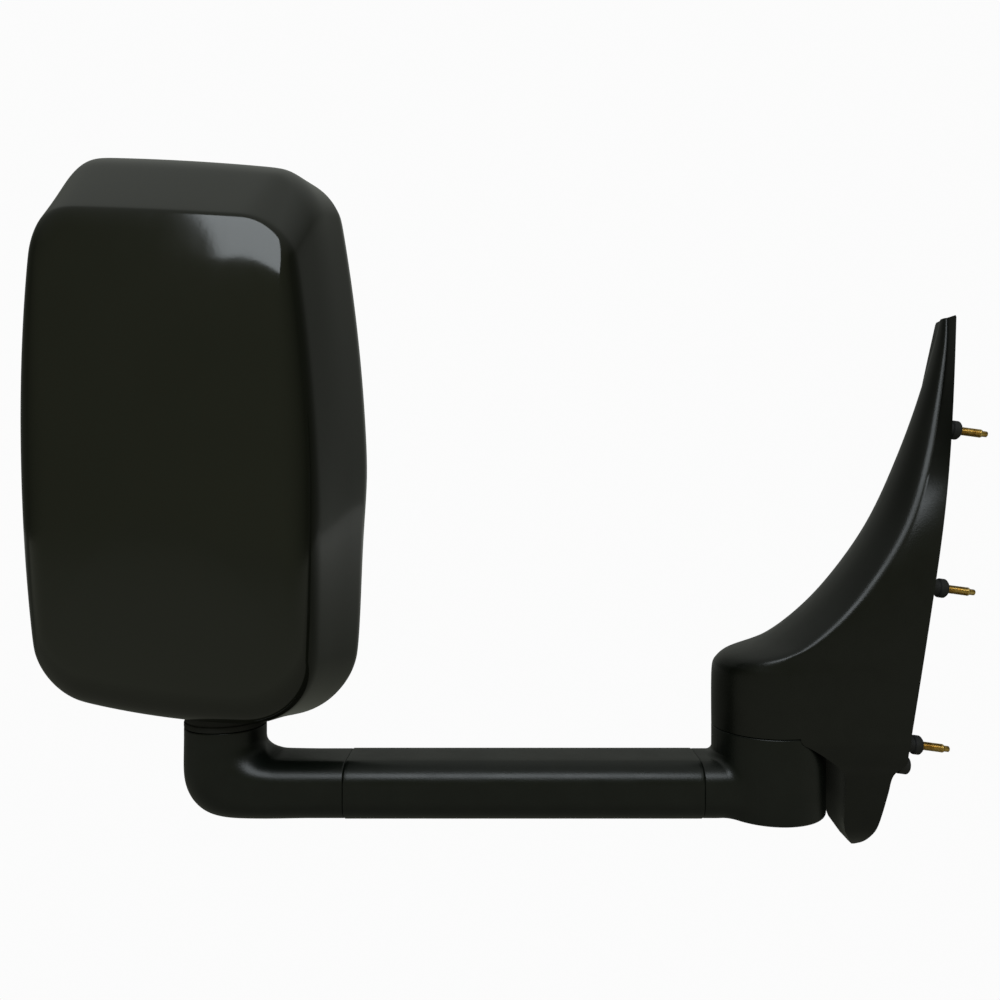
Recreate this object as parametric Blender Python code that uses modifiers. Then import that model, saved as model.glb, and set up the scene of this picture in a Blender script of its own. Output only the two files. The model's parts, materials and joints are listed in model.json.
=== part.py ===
"""Passenger-side towing mirror for a van: a tall head on a folding arm, carried by a sail-shaped base.

Frame: +Z up, +X towards the vehicle, -Y towards its front. The origin is on the mounting face, in the
plane that holds the folding axis and the swivel axis. Lengths below are in millimetres times MM.
"""

import math

import bmesh
import bpy
import numpy as np
from mathutils import Matrix, Vector

MM = 0.001

# ---------------------------------------------------------------- driving sizes
GAP = 0.3 * MM  # between pieces that touch
RUNNING_GAP = 0.6 * MM  # between pieces that turn inside one another

DOOR_LEAN = math.radians(7.5)  # the mounting face leans in at the bottom
PIVOT_X = -100.5 * MM  # folding axis, vertical
ARM_REACH = 379.0 * MM  # folding axis to swivel axis
NECK_X = PIVOT_X - ARM_REACH

BOSS_RADIUS = 38.3 * MM
BOSS_TOP = -99.3 * MM
BOSS_HEIGHT = 57.7 * MM
BOSS_WALL = 5.3 * MM
BOSS_DECK = 10.5 * MM
BOSS_BOTTOM = BOSS_TOP - BOSS_HEIGHT
BASE_BOTTOM = BOSS_TOP + 0.5 * MM  # underside of the sail's own boss

TUBE_DEPTH = 55.0 * MM
TUBE_HEIGHT = 39.2 * MM
TUBE_ROUND = 14.0 * MM
TUBE_WALL = 3.5 * MM
TUBE_TOP = -119.6 * MM
TUBE_AXIS_Z = TUBE_TOP - TUBE_HEIGHT / 2
STUB_LENGTH = 11.5 * MM  # boss casting outside its cylinder, up to the tube
ELBOW_ARM = 86.5 * MM  # swivel axis to the tube's outer end
SPIGOT = 30.0 * MM  # length of each casting inside the tube

NECK_RADIUS = 27.7 * MM
NECK_TOP = -98.2 * MM
ELBOW_INNER_ROUND = 12.0 * MM
ELBOW_OUTER_ROUND = 31.0 * MM
POST_RADIUS = 11.0 * MM
POST_TOP = -46.0 * MM
RING_HEIGHT = 10.2 * MM

HEAD_REAR_Y = 52.0 * MM
HEAD_FRONT_Y = -53.0 * MM
RIM_STRAIGHT = 9.0 * MM  # behind this the head's sides taper forwards
HEAD_WALL = 3.0 * MM
HEAD_CROWN = 5.0 * MM
HEAD_WIDTH = 208.5 * MM  # over the corners, before the sides bow out
HEAD_HEIGHT = 410.5 * MM
HEAD_OUTER_X = NECK_X - 0.595 * HEAD_WIDTH
HEAD_LOW_Z = NECK_TOP - 5.8 * MM
# Corners as shares of the head's width and height, from the top outer corner round to the lower outer one.
RIM_CORNERS = ((0.0, 1.0), (0.916, 0.974), (1.0, 0.0), (0.036, 0.044))
RIM_BOWS = (3.0, 15.0, 5.0, 10.0)  # top, inner, bottom and outer side
RIM_ROUNDS = (36, 28, 50, 38)
RIM_STEP = 4.5 * MM  # the inner side is this much narrower beside the lower glass
FRONT_CORNERS = ((0.065, 0.872), (0.856, 0.840), (0.918, 0.044), (0.079, 0.097))
FRONT_BOWS = (3.0, 8.0, 8.0, 11.5)
FRONT_ROUNDS = (30, 30, 40, 27)
TOP_BREAK_DROP = 0.13  # share of the top facet's fall that lies behind its upper edge
TOP_BREAK_Y = -6.0 * MM
BREAK_ROUND = 13.0 * MM
FRONT_ROUND = 14.0 * MM

BEZEL_DEPTH = 6.0 * MM
BEZEL_SET_BACK = 1.2 * MM
BEZEL_BORDER = 9.0 * MM
GLASS_SPLIT_Z = POST_TOP + 89.0 * MM  # keeps the cup of the lower ball above the post
GLASS_BAR = 13.0 * MM
GLASS_MARGIN = 5.0 * MM  # free all round each glass, so that it can be aimed
GLASS_THICKNESS = 3.0 * MM
GLASS_FACE_Y = 40.0 * MM
HOLDER_THICKNESS = 5.0 * MM
LOWER_BULGE = 3.5 * MM
BALL_RADIUS = 9.0 * MM
BALL_Y = 21.5 * MM
PIN_RADIUS = 2.2 * MM
PIN_REACH = 13.0 * MM
TOWER_RADIUS = 14.0 * MM

BRACKET_PLATE = 4.0 * MM
BRACKET_Y = -2.0 * MM  # its front face
BRACKET_WIDTH = 86.0 * MM
BRACKET_TOP = HEAD_LOW_Z + 0.753 * HEAD_HEIGHT
FLANGE_THICKNESS = 6.0 * MM
FLANGE_FLAT_Y = 16.0 * MM  # the flange is cut flat here, clear of the lower glass

COVER_WALL = 3.0 * MM
COVER_TOP = 185.0 * MM
COVER_LOW = -181 * MM
FOOT_Z = -119.0 * MM  # the mounting face ends here and the tongue below it stands clear of the door
POCKET_CLEARANCE = 12.7 * MM  # round the arm boss, where the pocket is widest

STUD_PITCH = 109.0 * MM
STUD_Y = (-8 * MM, -18 * MM, -12 * MM)  # from the top stud
STUD_RADIUS = 3.0 * MM
STUD_OUT = 34.5 * MM
STUD_POINT = 4.0 * MM
SPACER_RADIUS = 6.5 * MM
SPACER_OUT = 15.0 * MM
PEG_RADIUS = 6.3 * MM
PEG_OUT = 8.0 * MM
PEG_S = -123.6 * MM
GASKET = 2.0 * MM
STUD_PLATE = 3.2 * MM
PAD_RADIUS = 29.0 * MM
BOLT_RADIUS = 8.0 * MM

ROUND_STEPS = 28
SMALL_STEPS = 14

# ---------------------------------------------------------------- looks: colour, roughness, metallic
LOOKS = {
    "gloss_black": ((0.010, 0.010, 0.008), 0.12, 0.0),
    "satin_black": ((0.016, 0.018, 0.016), 0.45, 0.0),
    "black_plastic": ((0.012, 0.012, 0.012), 0.6, 0.0),
    "rubber": ((0.010, 0.010, 0.010), 0.85, 0.0),
    "glass_mirror": ((0.80, 0.82, 0.84), 0.03, 1.0),
    "zinc_yellow": ((0.62, 0.42, 0.13), 0.32, 1.0),
    "steel": ((0.45, 0.46, 0.47), 0.35, 1.0),
    "cast_metal": ((0.30, 0.30, 0.31), 0.55, 1.0),
    "nylon": ((0.70, 0.68, 0.62), 0.5, 0.0),
}


def start_scene():
    """Empties the scene and makes the two collections: the mirror's pieces and the cutters."""
    for old in list(bpy.data.objects):
        bpy.data.objects.remove(old, do_unlink=True)
    made = []
    for name, hidden in (("towing_mirror", False), ("cutters", True)):
        collection = bpy.data.collections.new(name)
        collection.hide_render = hidden
        bpy.context.scene.collection.children.link(collection)
        made.append(collection)
    return made


PIECES, CUTTERS = start_scene()


def look(name):
    """The Principled material of one finish, made the first time it is asked for."""
    material = bpy.data.materials.get(name)
    if material:
        return material
    colour, roughness, metallic = LOOKS[name]
    material = bpy.data.materials.new(name)
    material.use_nodes = True
    shader = material.node_tree.nodes["Principled BSDF"]
    shader.inputs["Base Color"].default_value = (*colour, 1.0)
    shader.inputs["Roughness"].default_value = roughness
    shader.inputs["Metallic"].default_value = metallic
    return material


def add_object(name, mesh, finish=None, matrix=None):
    """Puts a mesh in the scene: as a piece when it has a finish, and otherwise as a cutter."""
    thing = bpy.data.objects.new(name, mesh)
    if finish:
        mesh.materials.append(look(finish))
        PIECES.objects.link(thing)
    else:
        thing.hide_render = True
        thing.display_type = "WIRE"
        CUTTERS.objects.link(thing)
    if matrix is not None:
        thing.matrix_world = matrix
    return thing


def settle(thing):
    """Applies the object's modifiers, so that its origin and its neighbours can be set simply."""
    graph = bpy.context.evaluated_depsgraph_get()
    mesh = bpy.data.meshes.new_from_object(thing.evaluated_get(graph))
    work = bmesh.new()
    work.from_mesh(mesh)
    bmesh.ops.remove_doubles(work, verts=work.verts, dist=0.002 * MM)
    work.to_mesh(mesh)
    work.free()
    finishes = [slot.material for slot in thing.material_slots]
    thing.modifiers.clear()
    thing.data = mesh
    mesh.materials.clear()
    for material in finishes:
        mesh.materials.append(material)
    mesh.shade_smooth()
    mesh.set_sharp_from_angle(angle=math.radians(32))
    return thing


def set_origin(thing, point):
    """Moves the object's origin to a point on its joint's axis, without moving its shape."""
    shift = Matrix.Translation(Vector(point))
    thing.data.transform(shift.inverted() @ thing.matrix_world)
    thing.matrix_world = shift


def boolean(thing, other, operation):
    step = thing.modifiers.new(operation.lower(), "BOOLEAN")
    step.operation = operation
    step.object = other
    step.solver = "EXACT"


def cut(thing, *others):
    for other in others:
        boolean(thing, other, "DIFFERENCE")


def join(thing, *others):
    for other in others:
        boolean(thing, other, "UNION")


# ---------------------------------------------------------------- ways of making a shape
def turned(name, profile, finish=None, matrix=None, steps=ROUND_STEPS, closed=False):
    """A turned shape about its own Z axis: (radius, height) pairs down the outer side, top to bottom."""
    mesh = bpy.data.meshes.new(name)
    points = [(radius, 0.0, height) for radius, height in profile]
    edges = [(i, i + 1) for i in range(len(points) - 1)]
    if closed:
        edges.append((len(points) - 1, 0))
    mesh.from_pydata(points, edges, [])
    thing = add_object(name, mesh, finish, matrix)
    screw = thing.modifiers.new("turn", "SCREW")
    screw.angle = math.tau
    screw.steps = screw.render_steps = steps
    screw.use_merge_vertices = True
    screw.merge_threshold = 0.01 * MM
    return settle(thing)


def box(name, low, high, finish=None, matrix=None):
    """A block between two opposite corners."""
    work = bmesh.new()
    bmesh.ops.create_cube(work, size=1.0)
    low, high = Vector(low), Vector(high)
    size = Matrix.Diagonal((*(high - low), 1.0))
    bmesh.ops.transform(work, matrix=Matrix.Translation((low + high) / 2) @ size, verts=work.verts)
    mesh = bpy.data.meshes.new(name)
    work.to_mesh(mesh)
    work.free()
    return add_object(name, mesh, finish, matrix)


def ball(name, radius, centre, steps=16):
    work = bmesh.new()
    place = Matrix.Translation(centre)
    bmesh.ops.create_uvsphere(work, u_segments=steps, v_segments=steps // 2, radius=radius, matrix=place)
    mesh = bpy.data.meshes.new(name)
    work.to_mesh(mesh)
    work.free()
    return add_object(name, mesh)


def flat_plate(name, outline, thickness, matrix, finish=None):
    """A flat outline in the matrix's XY plane, extruded along its +Z."""
    curve = bpy.data.curves.new(name, "CURVE")
    curve.dimensions = "2D"
    curve.fill_mode = "BOTH"
    curve.extrude = thickness / 2
    spline = curve.splines.new("POLY")
    spline.points.add(len(outline) - 1)
    for point, (u, v) in zip(spline.points, outline):
        point.co = (u, v, 0.0, 1.0)
    spline.use_cyclic_u = True
    guide = bpy.data.objects.new(name + "_outline", curve)
    CUTTERS.objects.link(guide)
    guide.matrix_world = matrix @ Matrix.Translation((0, 0, thickness / 2))
    bpy.context.view_layer.update()
    graph = bpy.context.evaluated_depsgraph_get()
    mesh = bpy.data.meshes.new_from_object(guide.evaluated_get(graph))
    work = bmesh.new()
    work.from_mesh(mesh)
    bmesh.ops.remove_doubles(work, verts=work.verts, dist=0.01 * MM)
    bmesh.ops.recalc_face_normals(work, faces=work.faces)
    work.to_mesh(mesh)
    work.free()
    mesh.materials.clear()
    place = guide.matrix_world.copy()
    bpy.data.objects.remove(guide, do_unlink=True)
    return add_object(name, mesh, finish, place)


def loft(name, rings, finish=None, capped=True, matrix=None):
    """A skin over closed rings that have the same number of points. A ring of one point closes an end."""
    work = bmesh.new()
    rows = [[work.verts.new(point) for point in ring] for ring in rings]
    for near, far in zip(rows, rows[1:]):
        count = max(len(near), len(far))
        for i in range(count):
            corners = [near[i % len(near)], near[(i + 1) % len(near)]]
            corners += [far[(i + 1) % len(far)], far[i % len(far)]]
            work.faces.new(list(dict.fromkeys(corners)))
    if capped:
        for row in (rows[0], rows[-1]):
            if len(row) > 2:
                work.faces.new(row)
    bmesh.ops.recalc_face_normals(work, faces=work.faces)
    mesh = bpy.data.meshes.new(name)
    work.to_mesh(mesh)
    work.free()
    return add_object(name, mesh, finish, matrix)


def rounded_section(width, height, radius, corner_steps=6):
    """Points of a rectangle with round corners about (0, 0), as (u, v), counter-clockwise."""
    radius = min(radius, width / 2, height / 2)
    turns = np.linspace(0.0, math.pi / 2, corner_steps)
    points = []
    for corner, (su, sv) in enumerate(((1, 1), (-1, 1), (-1, -1), (1, -1))):
        angle = turns + corner * math.pi / 2
        centre = (su * (width / 2 - radius), sv * (height / 2 - radius))
        points += [(centre[0] + radius * math.cos(a), centre[1] + radius * math.sin(a)) for a in angle]
    return points


def smooth_step(t):
    t = min(max(t, 0.0), 1.0)
    return t * t * (3 - 2 * t)


def through(stations, per_span):
    """Rows of a smooth curve through the stations, with a fixed number of steps to each span."""
    rows = np.array(stations, float)
    padded = np.vstack([2 * rows[0] - rows[1], rows, 2 * rows[-1] - rows[-2]])
    made = []
    for i in range(1, len(padded) - 2):
        before, start, end, after = padded[i - 1 : i + 3]
        for t in np.arange(per_span) / per_span:
            made.append(
                0.5
                * (
                    2 * start
                    + (end - before) * t
                    + (2 * before - 5 * start + 4 * end - after) * t**2
                    + (3 * start - before - 3 * end + after) * t**3
                )
            )
    made.append(padded[-2])
    return np.array(made)


def upright(x, y, z=0.0):
    return Matrix.Translation((x, y, z))


def facing_rear(x, y, z):
    """Own +Z along the world's +Y, for what is turned or extruded towards the glass."""
    return Matrix.Translation((x, y, z)) @ Matrix.Rotation(-math.pi / 2, 4, "X")


def door_frame():
    """Own X is straight out of the mounting face, own Y the world's, own Z up along the face."""
    return Matrix.Rotation(DOOR_LEAN, 4, "Y")


def out_of_door(y, s, out=0.0):
    """Own +Z straight out of the mounting face, at a place on it."""
    return door_frame() @ Matrix.Translation((out, y, s)) @ Matrix.Rotation(math.pi / 2, 4, "Y")


def door_x(z):
    """X of the mounting face at a height."""
    return z * math.tan(DOOR_LEAN)


# ---------------------------------------------------------------- base: the sail and what is in it
# Along the ramp: x of its outer end, height, half width, depth of the rounded end, squareness of it.
BOSS = BOSS_RADIUS / MM
RAMP = (
    (PIVOT_X / MM - BOSS, -94.0, BOSS, BOSS, 2.0),
    (PIVOT_X / MM - BOSS, -60.0, BOSS, BOSS, 2.0),
    (PIVOT_X / MM - BOSS + 2.3, -52.5, BOSS - 0.7, BOSS - 2.3, 2.0),
    (PIVOT_X / MM - 27.0, -47.5, 36.3, 28.0, 2.1),
    (PIVOT_X / MM - 9.0, -42.5, 36.0, 20.0, 2.4),
    (-92.0, -34.0, 35.0, 15.0, 2.6),
    (-62.0, -8.0, 33.0, 14.0, 2.6),
    (-29.0, 36.5, 31.0, 12.0, 2.6),
    (-9.5, 80.0, 22.5, 10.0, 2.6),
    (5.5, 122.7, 14.5, 6.0, 2.6),
    (17.5, 165.0, 8.0, 3.0, 2.5),
    (21.3, 185.0, 4.0, 1.6, 2.5),
)
# Up the mounting face: height and half width of the sail there.
FACE_WIDTHS = ((-119, 27), (-60, 30.4), (0, 31), (40, 35), (80, 32.5), (123, 25.5), (165, 18), (185, 14))
# Down the tongue: height, half width, half width at its door side, how far it stands off the door.
TONGUE = ((-103.5, BOSS, 28.6, 0), (-112, BOSS - 2.3, 27.5, 0), (-119, 33, 26.5, 0), (-127, 28.5, 24, 6.5),
          (-140, 24, 21, 7), (-155, 20.5, 18.5, 8), (-166, 17, 15.5, 9), (-173, 12.5, 11.5, 11),
          (-178, 7.5, 7, 13.5), (-181, 3, 3, 17))


def face_half_width(z):
    heights, widths = np.array(FACE_WIDTHS, float).T
    return float(np.interp(z, heights, widths))


def cover_ring(x_left, z, half, depth, square, half_at_door, x_door, reach=0.0):
    """One level section of the sail: a rounded outer end, two straight flanks and the door side.

    With a reach, the flanks run on in their own line past the door side.
    """
    splay = (half_at_door - half) / (x_door - x_left - depth)
    half_at_door += splay * reach
    x_right = x_door + reach
    angles = np.linspace(-math.pi / 2, math.pi / 2, 13)
    round_x = x_left + depth * (1 - np.abs(np.cos(angles)) ** (2 / square))
    round_y = -half * np.sign(np.sin(angles)) * np.abs(np.sin(angles)) ** (2 / square)
    ring = [(x, y, z) for x, y in zip(round_x, round_y)]
    ring += [(x_right, -half_at_door, z), (x_right, half_at_door, z)]
    return ring


def ramp_ring(row, inset=0.0, reach=0.0):
    """The level section at one station of the ramp, or the hollow's section inside it."""
    x, z, half, depth, square = row
    at_door = face_half_width(z) * MM - inset
    inner_depth = max(depth * MM - inset, 1.0 * MM)
    x_left = x * MM + inset * 1.25
    section = (x_left, z * MM, half * MM - inset, inner_depth, square, at_door, door_x(z * MM), reach)
    return cover_ring(*section)


def hollow_half(z, out):
    """Half width of the sail's hollow at a height, on a plane this far out of the mounting face."""
    rows = through(RAMP, 2)
    row = [np.interp(z / MM, rows[:, 1], rows[:, i]) for i in range(5)]
    points = ramp_ring(row, COVER_WALL, 12 * MM)
    side = points[len(points) // 2 - 1 : -1]
    return float(np.interp(door_x(z) + out, [p[0] for p in side], [-p[1] for p in side]))


def cover_solid(name, inset=0.0, low=COVER_LOW, high=COVER_TOP, reach=0.0):
    """The sail's outer form as a closed skin, or a smaller one inside it that reaches past the door face."""
    rings = []
    for z, half, at_door, off in reversed(through(TONGUE, 2)):
        if low <= z * MM < BASE_BOTTOM - 0.01 * MM:
            half, at_door = half * MM - inset, at_door * MM - inset
            x_left = PIVOT_X - BOSS_RADIUS + inset
            right = door_x(z * MM) - off * MM
            ring_points = cover_ring(x_left, z * MM, half, BOSS_RADIUS - inset, 2.0, at_door, right, reach)
            rings.append(ring_points)
    for x, z, half, depth, square in through(RAMP, 2):
        if low <= z * MM <= high + 0.01 * MM:
            rings.append(ramp_ring((x, z, half, depth, square), inset, reach))
    return loft(name, rings)


def pocket(name, extra=0.0):
    """Turned cutter that frees the arm boss: it starts flush at the seam and widens below it."""
    top = BASE_BOTTOM + extra
    profile = [(0.0, top), (BOSS_RADIUS + 0.2 * MM + extra, top)]
    drop = 38.0 * MM
    for t in np.linspace(0.1, 1.0, 9):
        profile.append((BOSS_RADIUS + extra + POCKET_CLEARANCE * smooth_step(t), BASE_BOTTOM - drop * t))
    low = COVER_LOW - 4 * MM
    widest = BOSS_RADIUS + extra + POCKET_CLEARANCE
    profile += [(widest - 1.5 * MM, -165 * MM), (widest + 3 * MM, -181 * MM)]
    profile += [(widest + 16 * MM, low), (0.0, low)]
    return turned(name, profile, matrix=upright(PIVOT_X, 0), steps=36)


def base_cover():
    cover = cover_solid("base_cover")
    CUTTERS.objects.unlink(cover)
    PIECES.objects.link(cover)
    cover.hide_render = False
    cover.display_type = "TEXTURED"
    cover.data.materials.append(look("satin_black"))
    hollow = cover_solid("cover_hollow", COVER_WALL, -162 * MM, 133 * MM, 12 * MM)
    cut(hollow, pocket("pocket_wall", COVER_WALL))
    settle(hollow)
    pad_hole_radius = PAD_RADIUS + RUNNING_GAP
    hole = ((0, BASE_BOTTOM + 9 * MM), (pad_hole_radius, BASE_BOTTOM + 9 * MM),
            (pad_hole_radius, BASE_BOTTOM - 9 * MM), (0, BASE_BOTTOM - 9 * MM))
    cut(cover, pocket("pocket_cut"), hollow, turned("pad_hole", hole, matrix=upright(PIVOT_X, 0)))
    return settle(cover)


def stud_places():
    """(y, distance up the mounting face) of the three studs, from the top one."""
    return [(STUD_Y[i], (1 - i) * STUD_PITCH) for i in range(3)]


def hollow_outline(out, margin, widest, low, high, steps=9):
    """Outline of a plate in the sail's hollow, this far out of the mounting face: (y, s) pairs."""
    heights = np.linspace(low, high, steps)
    halves = [min(hollow_half(s * math.cos(DOOR_LEAN), out) - margin, widest) for s in heights]
    right = [(half, s) for half, s in zip(halves, heights)]
    return right + [(-half, s) for half, s in reversed(right)]


def on_door(out):
    """Own X along the world's Y, own Y up along the mounting face, own Z straight out of it."""
    turn = Matrix(((0, 0, 1, 0), (1, 0, 0, 0), (0, 1, 0, 0), (0, 0, 0, 1)))
    return door_frame() @ Matrix.Translation((out, 0, 0)) @ turn


def rod(name, radius, matrix, start, end, steps=SMALL_STEPS):
    profile = ((0, end), (radius, end), (radius, start), (0, start))
    return turned(name, profile, matrix=matrix, steps=steps)


def door_gasket():
    outline = hollow_outline(-GASKET, 3.0 * MM, 40 * MM, FOOT_Z + 5 * MM, 121 * MM, 12)
    gasket = flat_plate("door_gasket", outline, GASKET, on_door(-GASKET), "rubber")
    for i, (y, s) in enumerate(stud_places()):
        hole = rod(f"gasket_hole_{i}", SPACER_RADIUS + GAP, out_of_door(y, s), -GASKET * 2, GASKET)
        cut(gasket, hole)
    return settle(gasket)


def plate_outline():
    return hollow_outline(-GASKET - STUD_PLATE - GAP, 1.6 * MM, 22 * MM, FOOT_Z + 8 * MM, 116 * MM)


def base_bracket():
    """Cast bracket: the pad under the pivot bolt, a shelf, two ribs and the plate for the door studs."""
    pad_top = BASE_BOTTOM + 14 * MM
    pad_low = BASE_BOTTOM + 1.3 * MM
    bore = BOLT_RADIUS + GAP
    pad = turned(
        "base_bracket",
        ((PAD_RADIUS, pad_top), (PAD_RADIUS, pad_low), (bore, pad_low), (bore, pad_top)),
        "cast_metal",
        upright(PIVOT_X, 0),
        closed=True,
    )
    back = -GASKET - GAP - STUD_PLATE
    plate = flat_plate("stud_plate", plate_outline(), STUD_PLATE, on_door(back))
    shelf_low = BASE_BOTTOM + COVER_WALL + 0.7 * MM
    shelf = box(
        "shelf",
        (PIVOT_X + 18 * MM, -15 * MM, shelf_low),
        (door_x(shelf_low) + back - 0.5 * MM + 2 * MM, 15 * MM, shelf_low + 8 * MM),
    )
    join(pad, shelf)
    for side in (-1, 1):
        y = side * 12.0 * MM - 2.2 * MM
        rib = (
            (PIVOT_X + 19 * MM, shelf_low + 1 * MM),
            (door_x(shelf_low) + back + 1.5 * MM, shelf_low + 1 * MM),
            (door_x(-22 * MM) + back + 1.5 * MM, -22 * MM),
            (PIVOT_X + 40 * MM, -62 * MM),
            (PIVOT_X + 19 * MM, pad_top),
        )
        stand = Matrix.Translation((0, y + 4.4 * MM, 0)) @ Matrix.Rotation(math.pi / 2, 4, "X")
        join(pad, flat_plate(f"rib_{side}", rib, 4.4 * MM, stand))
    join(pad, plate)
    for i, (y, s) in enumerate(stud_places()):
        cut(pad, rod(f"stud_hole_{i}", STUD_RADIUS + 0.1 * MM, out_of_door(y, s), back - 9 * MM, 5 * MM))
    return settle(pad)


def door_studs():
    back = -GASKET - GAP - STUD_PLATE
    for i, (y, s) in enumerate(stud_places()):
        chamfer = 0.6 * MM
        point = STUD_RADIUS - 1.0 * MM
        shoulder = STUD_OUT - STUD_POINT
        profile = (
            (0, STUD_OUT),
            (point, STUD_OUT),
            (point, shoulder + chamfer),
            (STUD_RADIUS, shoulder - chamfer),
            (STUD_RADIUS, back),
            (0, back),
        )
        turned(f"door_stud_{i + 1}", profile, "zinc_yellow", out_of_door(y, s), SMALL_STEPS)
        bore = STUD_RADIUS + GAP
        root = -GASKET
        waist = SPACER_RADIUS - 1.2 * MM
        spacer = (
            (SPACER_RADIUS - 1.5 * MM, SPACER_OUT),
            (SPACER_RADIUS, SPACER_OUT - 1.5 * MM),
            (SPACER_RADIUS, SPACER_OUT - 5.5 * MM),
            (waist, SPACER_OUT - 6.5 * MM),
            (waist, 1.5 * MM),
            (SPACER_RADIUS, 1.0 * MM),
            (SPACER_RADIUS, root),
            (bore, root),
            (bore, SPACER_OUT),
        )
        turned(f"stud_spacer_{i + 1}", spacer, "rubber", out_of_door(y, s), SMALL_STEPS, closed=True)


def locating_peg():
    """Stepped plug under the lowest stud; its root is clipped into the sail's lower edge."""
    profile = (
        (0, PEG_OUT),
        (PEG_RADIUS - 1.2 * MM, PEG_OUT),
        (PEG_RADIUS, PEG_OUT - 1.2 * MM),
        (PEG_RADIUS, 0.6 * MM),
        (PEG_RADIUS - 2 * MM, 0.3 * MM),
        (PEG_RADIUS - 2 * MM, -9 * MM),
        (0, -9 * MM),
    )
    turned("locating_peg", profile, "black_plastic", out_of_door(STUD_Y[2], PEG_S), SMALL_STEPS)


# ---------------------------------------------------------------- folding joint
def hexagon(across_flats, top, low, bore, name, finish, matrix):
    """A nut: a six-sided prism with a bore."""
    radius = across_flats / math.sqrt(3)
    outline = [(radius * math.cos(a), radius * math.sin(a)) for a in np.arange(6) * math.tau / 6]
    nut = flat_plate(name, outline, top - low, matrix @ Matrix.Translation((0, 0, low)), finish)
    if bore:
        cut(nut, rod(name + "_bore", bore, matrix, low - 2 * MM, top + 2 * MM, 24))
        settle(nut)
    return nut


def ring(name, outer, inner, top, low, finish, matrix, steps=ROUND_STEPS):
    profile = ((outer, top), (outer, low), (inner, low), (inner, top))
    return turned(name, profile, finish, matrix, steps, closed=True)


def coil(name, radius, wire, low, high, turns, finish, matrix):
    """A compression spring: a helix of round wire about its own Z axis."""
    curve = bpy.data.curves.new(name, "CURVE")
    curve.dimensions = "3D"
    curve.bevel_depth = wire
    curve.bevel_resolution = 1
    curve.use_fill_caps = True
    count = int(turns * 12) + 1
    spline = curve.splines.new("POLY")
    spline.points.add(count - 1)
    for i, point in enumerate(spline.points):
        t = i / (count - 1)
        angle = math.tau * turns * t
        height = low + wire + (high - low - 2 * wire) * t
        point.co = (radius * math.cos(angle), radius * math.sin(angle), height, 1.0)
    guide = bpy.data.objects.new(name + "_line", curve)
    CUTTERS.objects.link(guide)
    guide.matrix_world = matrix
    bpy.context.view_layer.update()
    graph = bpy.context.evaluated_depsgraph_get()
    mesh = bpy.data.meshes.new_from_object(guide.evaluated_get(graph))
    work = bmesh.new()
    work.from_mesh(mesh)
    bmesh.ops.remove_doubles(work, verts=work.verts, dist=0.01 * MM)
    bmesh.ops.recalc_face_normals(work, faces=work.faces)
    work.to_mesh(mesh)
    work.free()
    mesh.materials.clear()
    bpy.data.objects.remove(guide, do_unlink=True)
    thing = add_object(name, mesh, finish, matrix)
    mesh.shade_smooth()
    return thing


DECK_UNDERSIDE = BOSS_TOP - BOSS_DECK
BOLT_LOW = BOSS_BOTTOM + 9.0 * MM
NUT_LOW = BOLT_LOW + 3.0 * MM
NUT_TOP = NUT_LOW + 12.0 * MM


def folding_joint():
    here = upright(PIVOT_X, 0)
    pad_top = BASE_BOTTOM + 14 * MM
    head_low = pad_top + GAP
    radius = 24.0 * MM / math.sqrt(3)
    bolt = rod("pivot_bolt", BOLT_RADIUS, here, BOLT_LOW, head_low + 2 * MM, 28)
    CUTTERS.objects.unlink(bolt)
    PIECES.objects.link(bolt)
    bolt.hide_render = False
    bolt.display_type = "TEXTURED"
    bolt.data.materials.append(look("steel"))
    outline = [(radius * math.cos(a), radius * math.sin(a)) for a in np.arange(6) * math.tau / 6]
    head = flat_plate("bolt_head", outline, 9 * MM, here @ Matrix.Translation((0, 0, head_low)))
    join(bolt, head)
    settle(bolt)
    bore = BOLT_RADIUS + GAP
    washer_top = BASE_BOTTOM + 1.3 * MM - GAP
    ring("pivot_wear_washer", 27 * MM, bore, washer_top, washer_top - 1.9 * MM, "nylon", here)
    seat = DECK_UNDERSIDE - GAP
    ring("pivot_lower_washer", 20 * MM, bore, seat, seat - 2 * MM, "steel", here, 28)
    keeper = NUT_TOP + GAP
    ring("pivot_spring_washer", 18 * MM, bore, keeper + 2.2 * MM, keeper, "steel", here, 28)
    coil("pivot_spring", 13.5 * MM, 2.6 * MM, keeper + 2.6 * MM, seat - 2.4 * MM, 2.5, "steel", here)
    hexagon(24 * MM, NUT_TOP, NUT_LOW, bore - 0.15 * MM, "pivot_nut", "zinc_yellow", here)


# ---------------------------------------------------------------- arm
def tube_ring(x, shrink=0.0, grow=(0.0, 0.0)):
    """Section of the arm at one x: a rounded rectangle, shrunk all round or grown in depth and height."""
    width = TUBE_DEPTH - 2 * shrink + grow[0]
    height = TUBE_HEIGHT - 2 * shrink + grow[1]
    section = rounded_section(width, height, TUBE_ROUND - shrink)
    return [(x, u, TUBE_AXIS_Z + v) for u, v in section]


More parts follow.
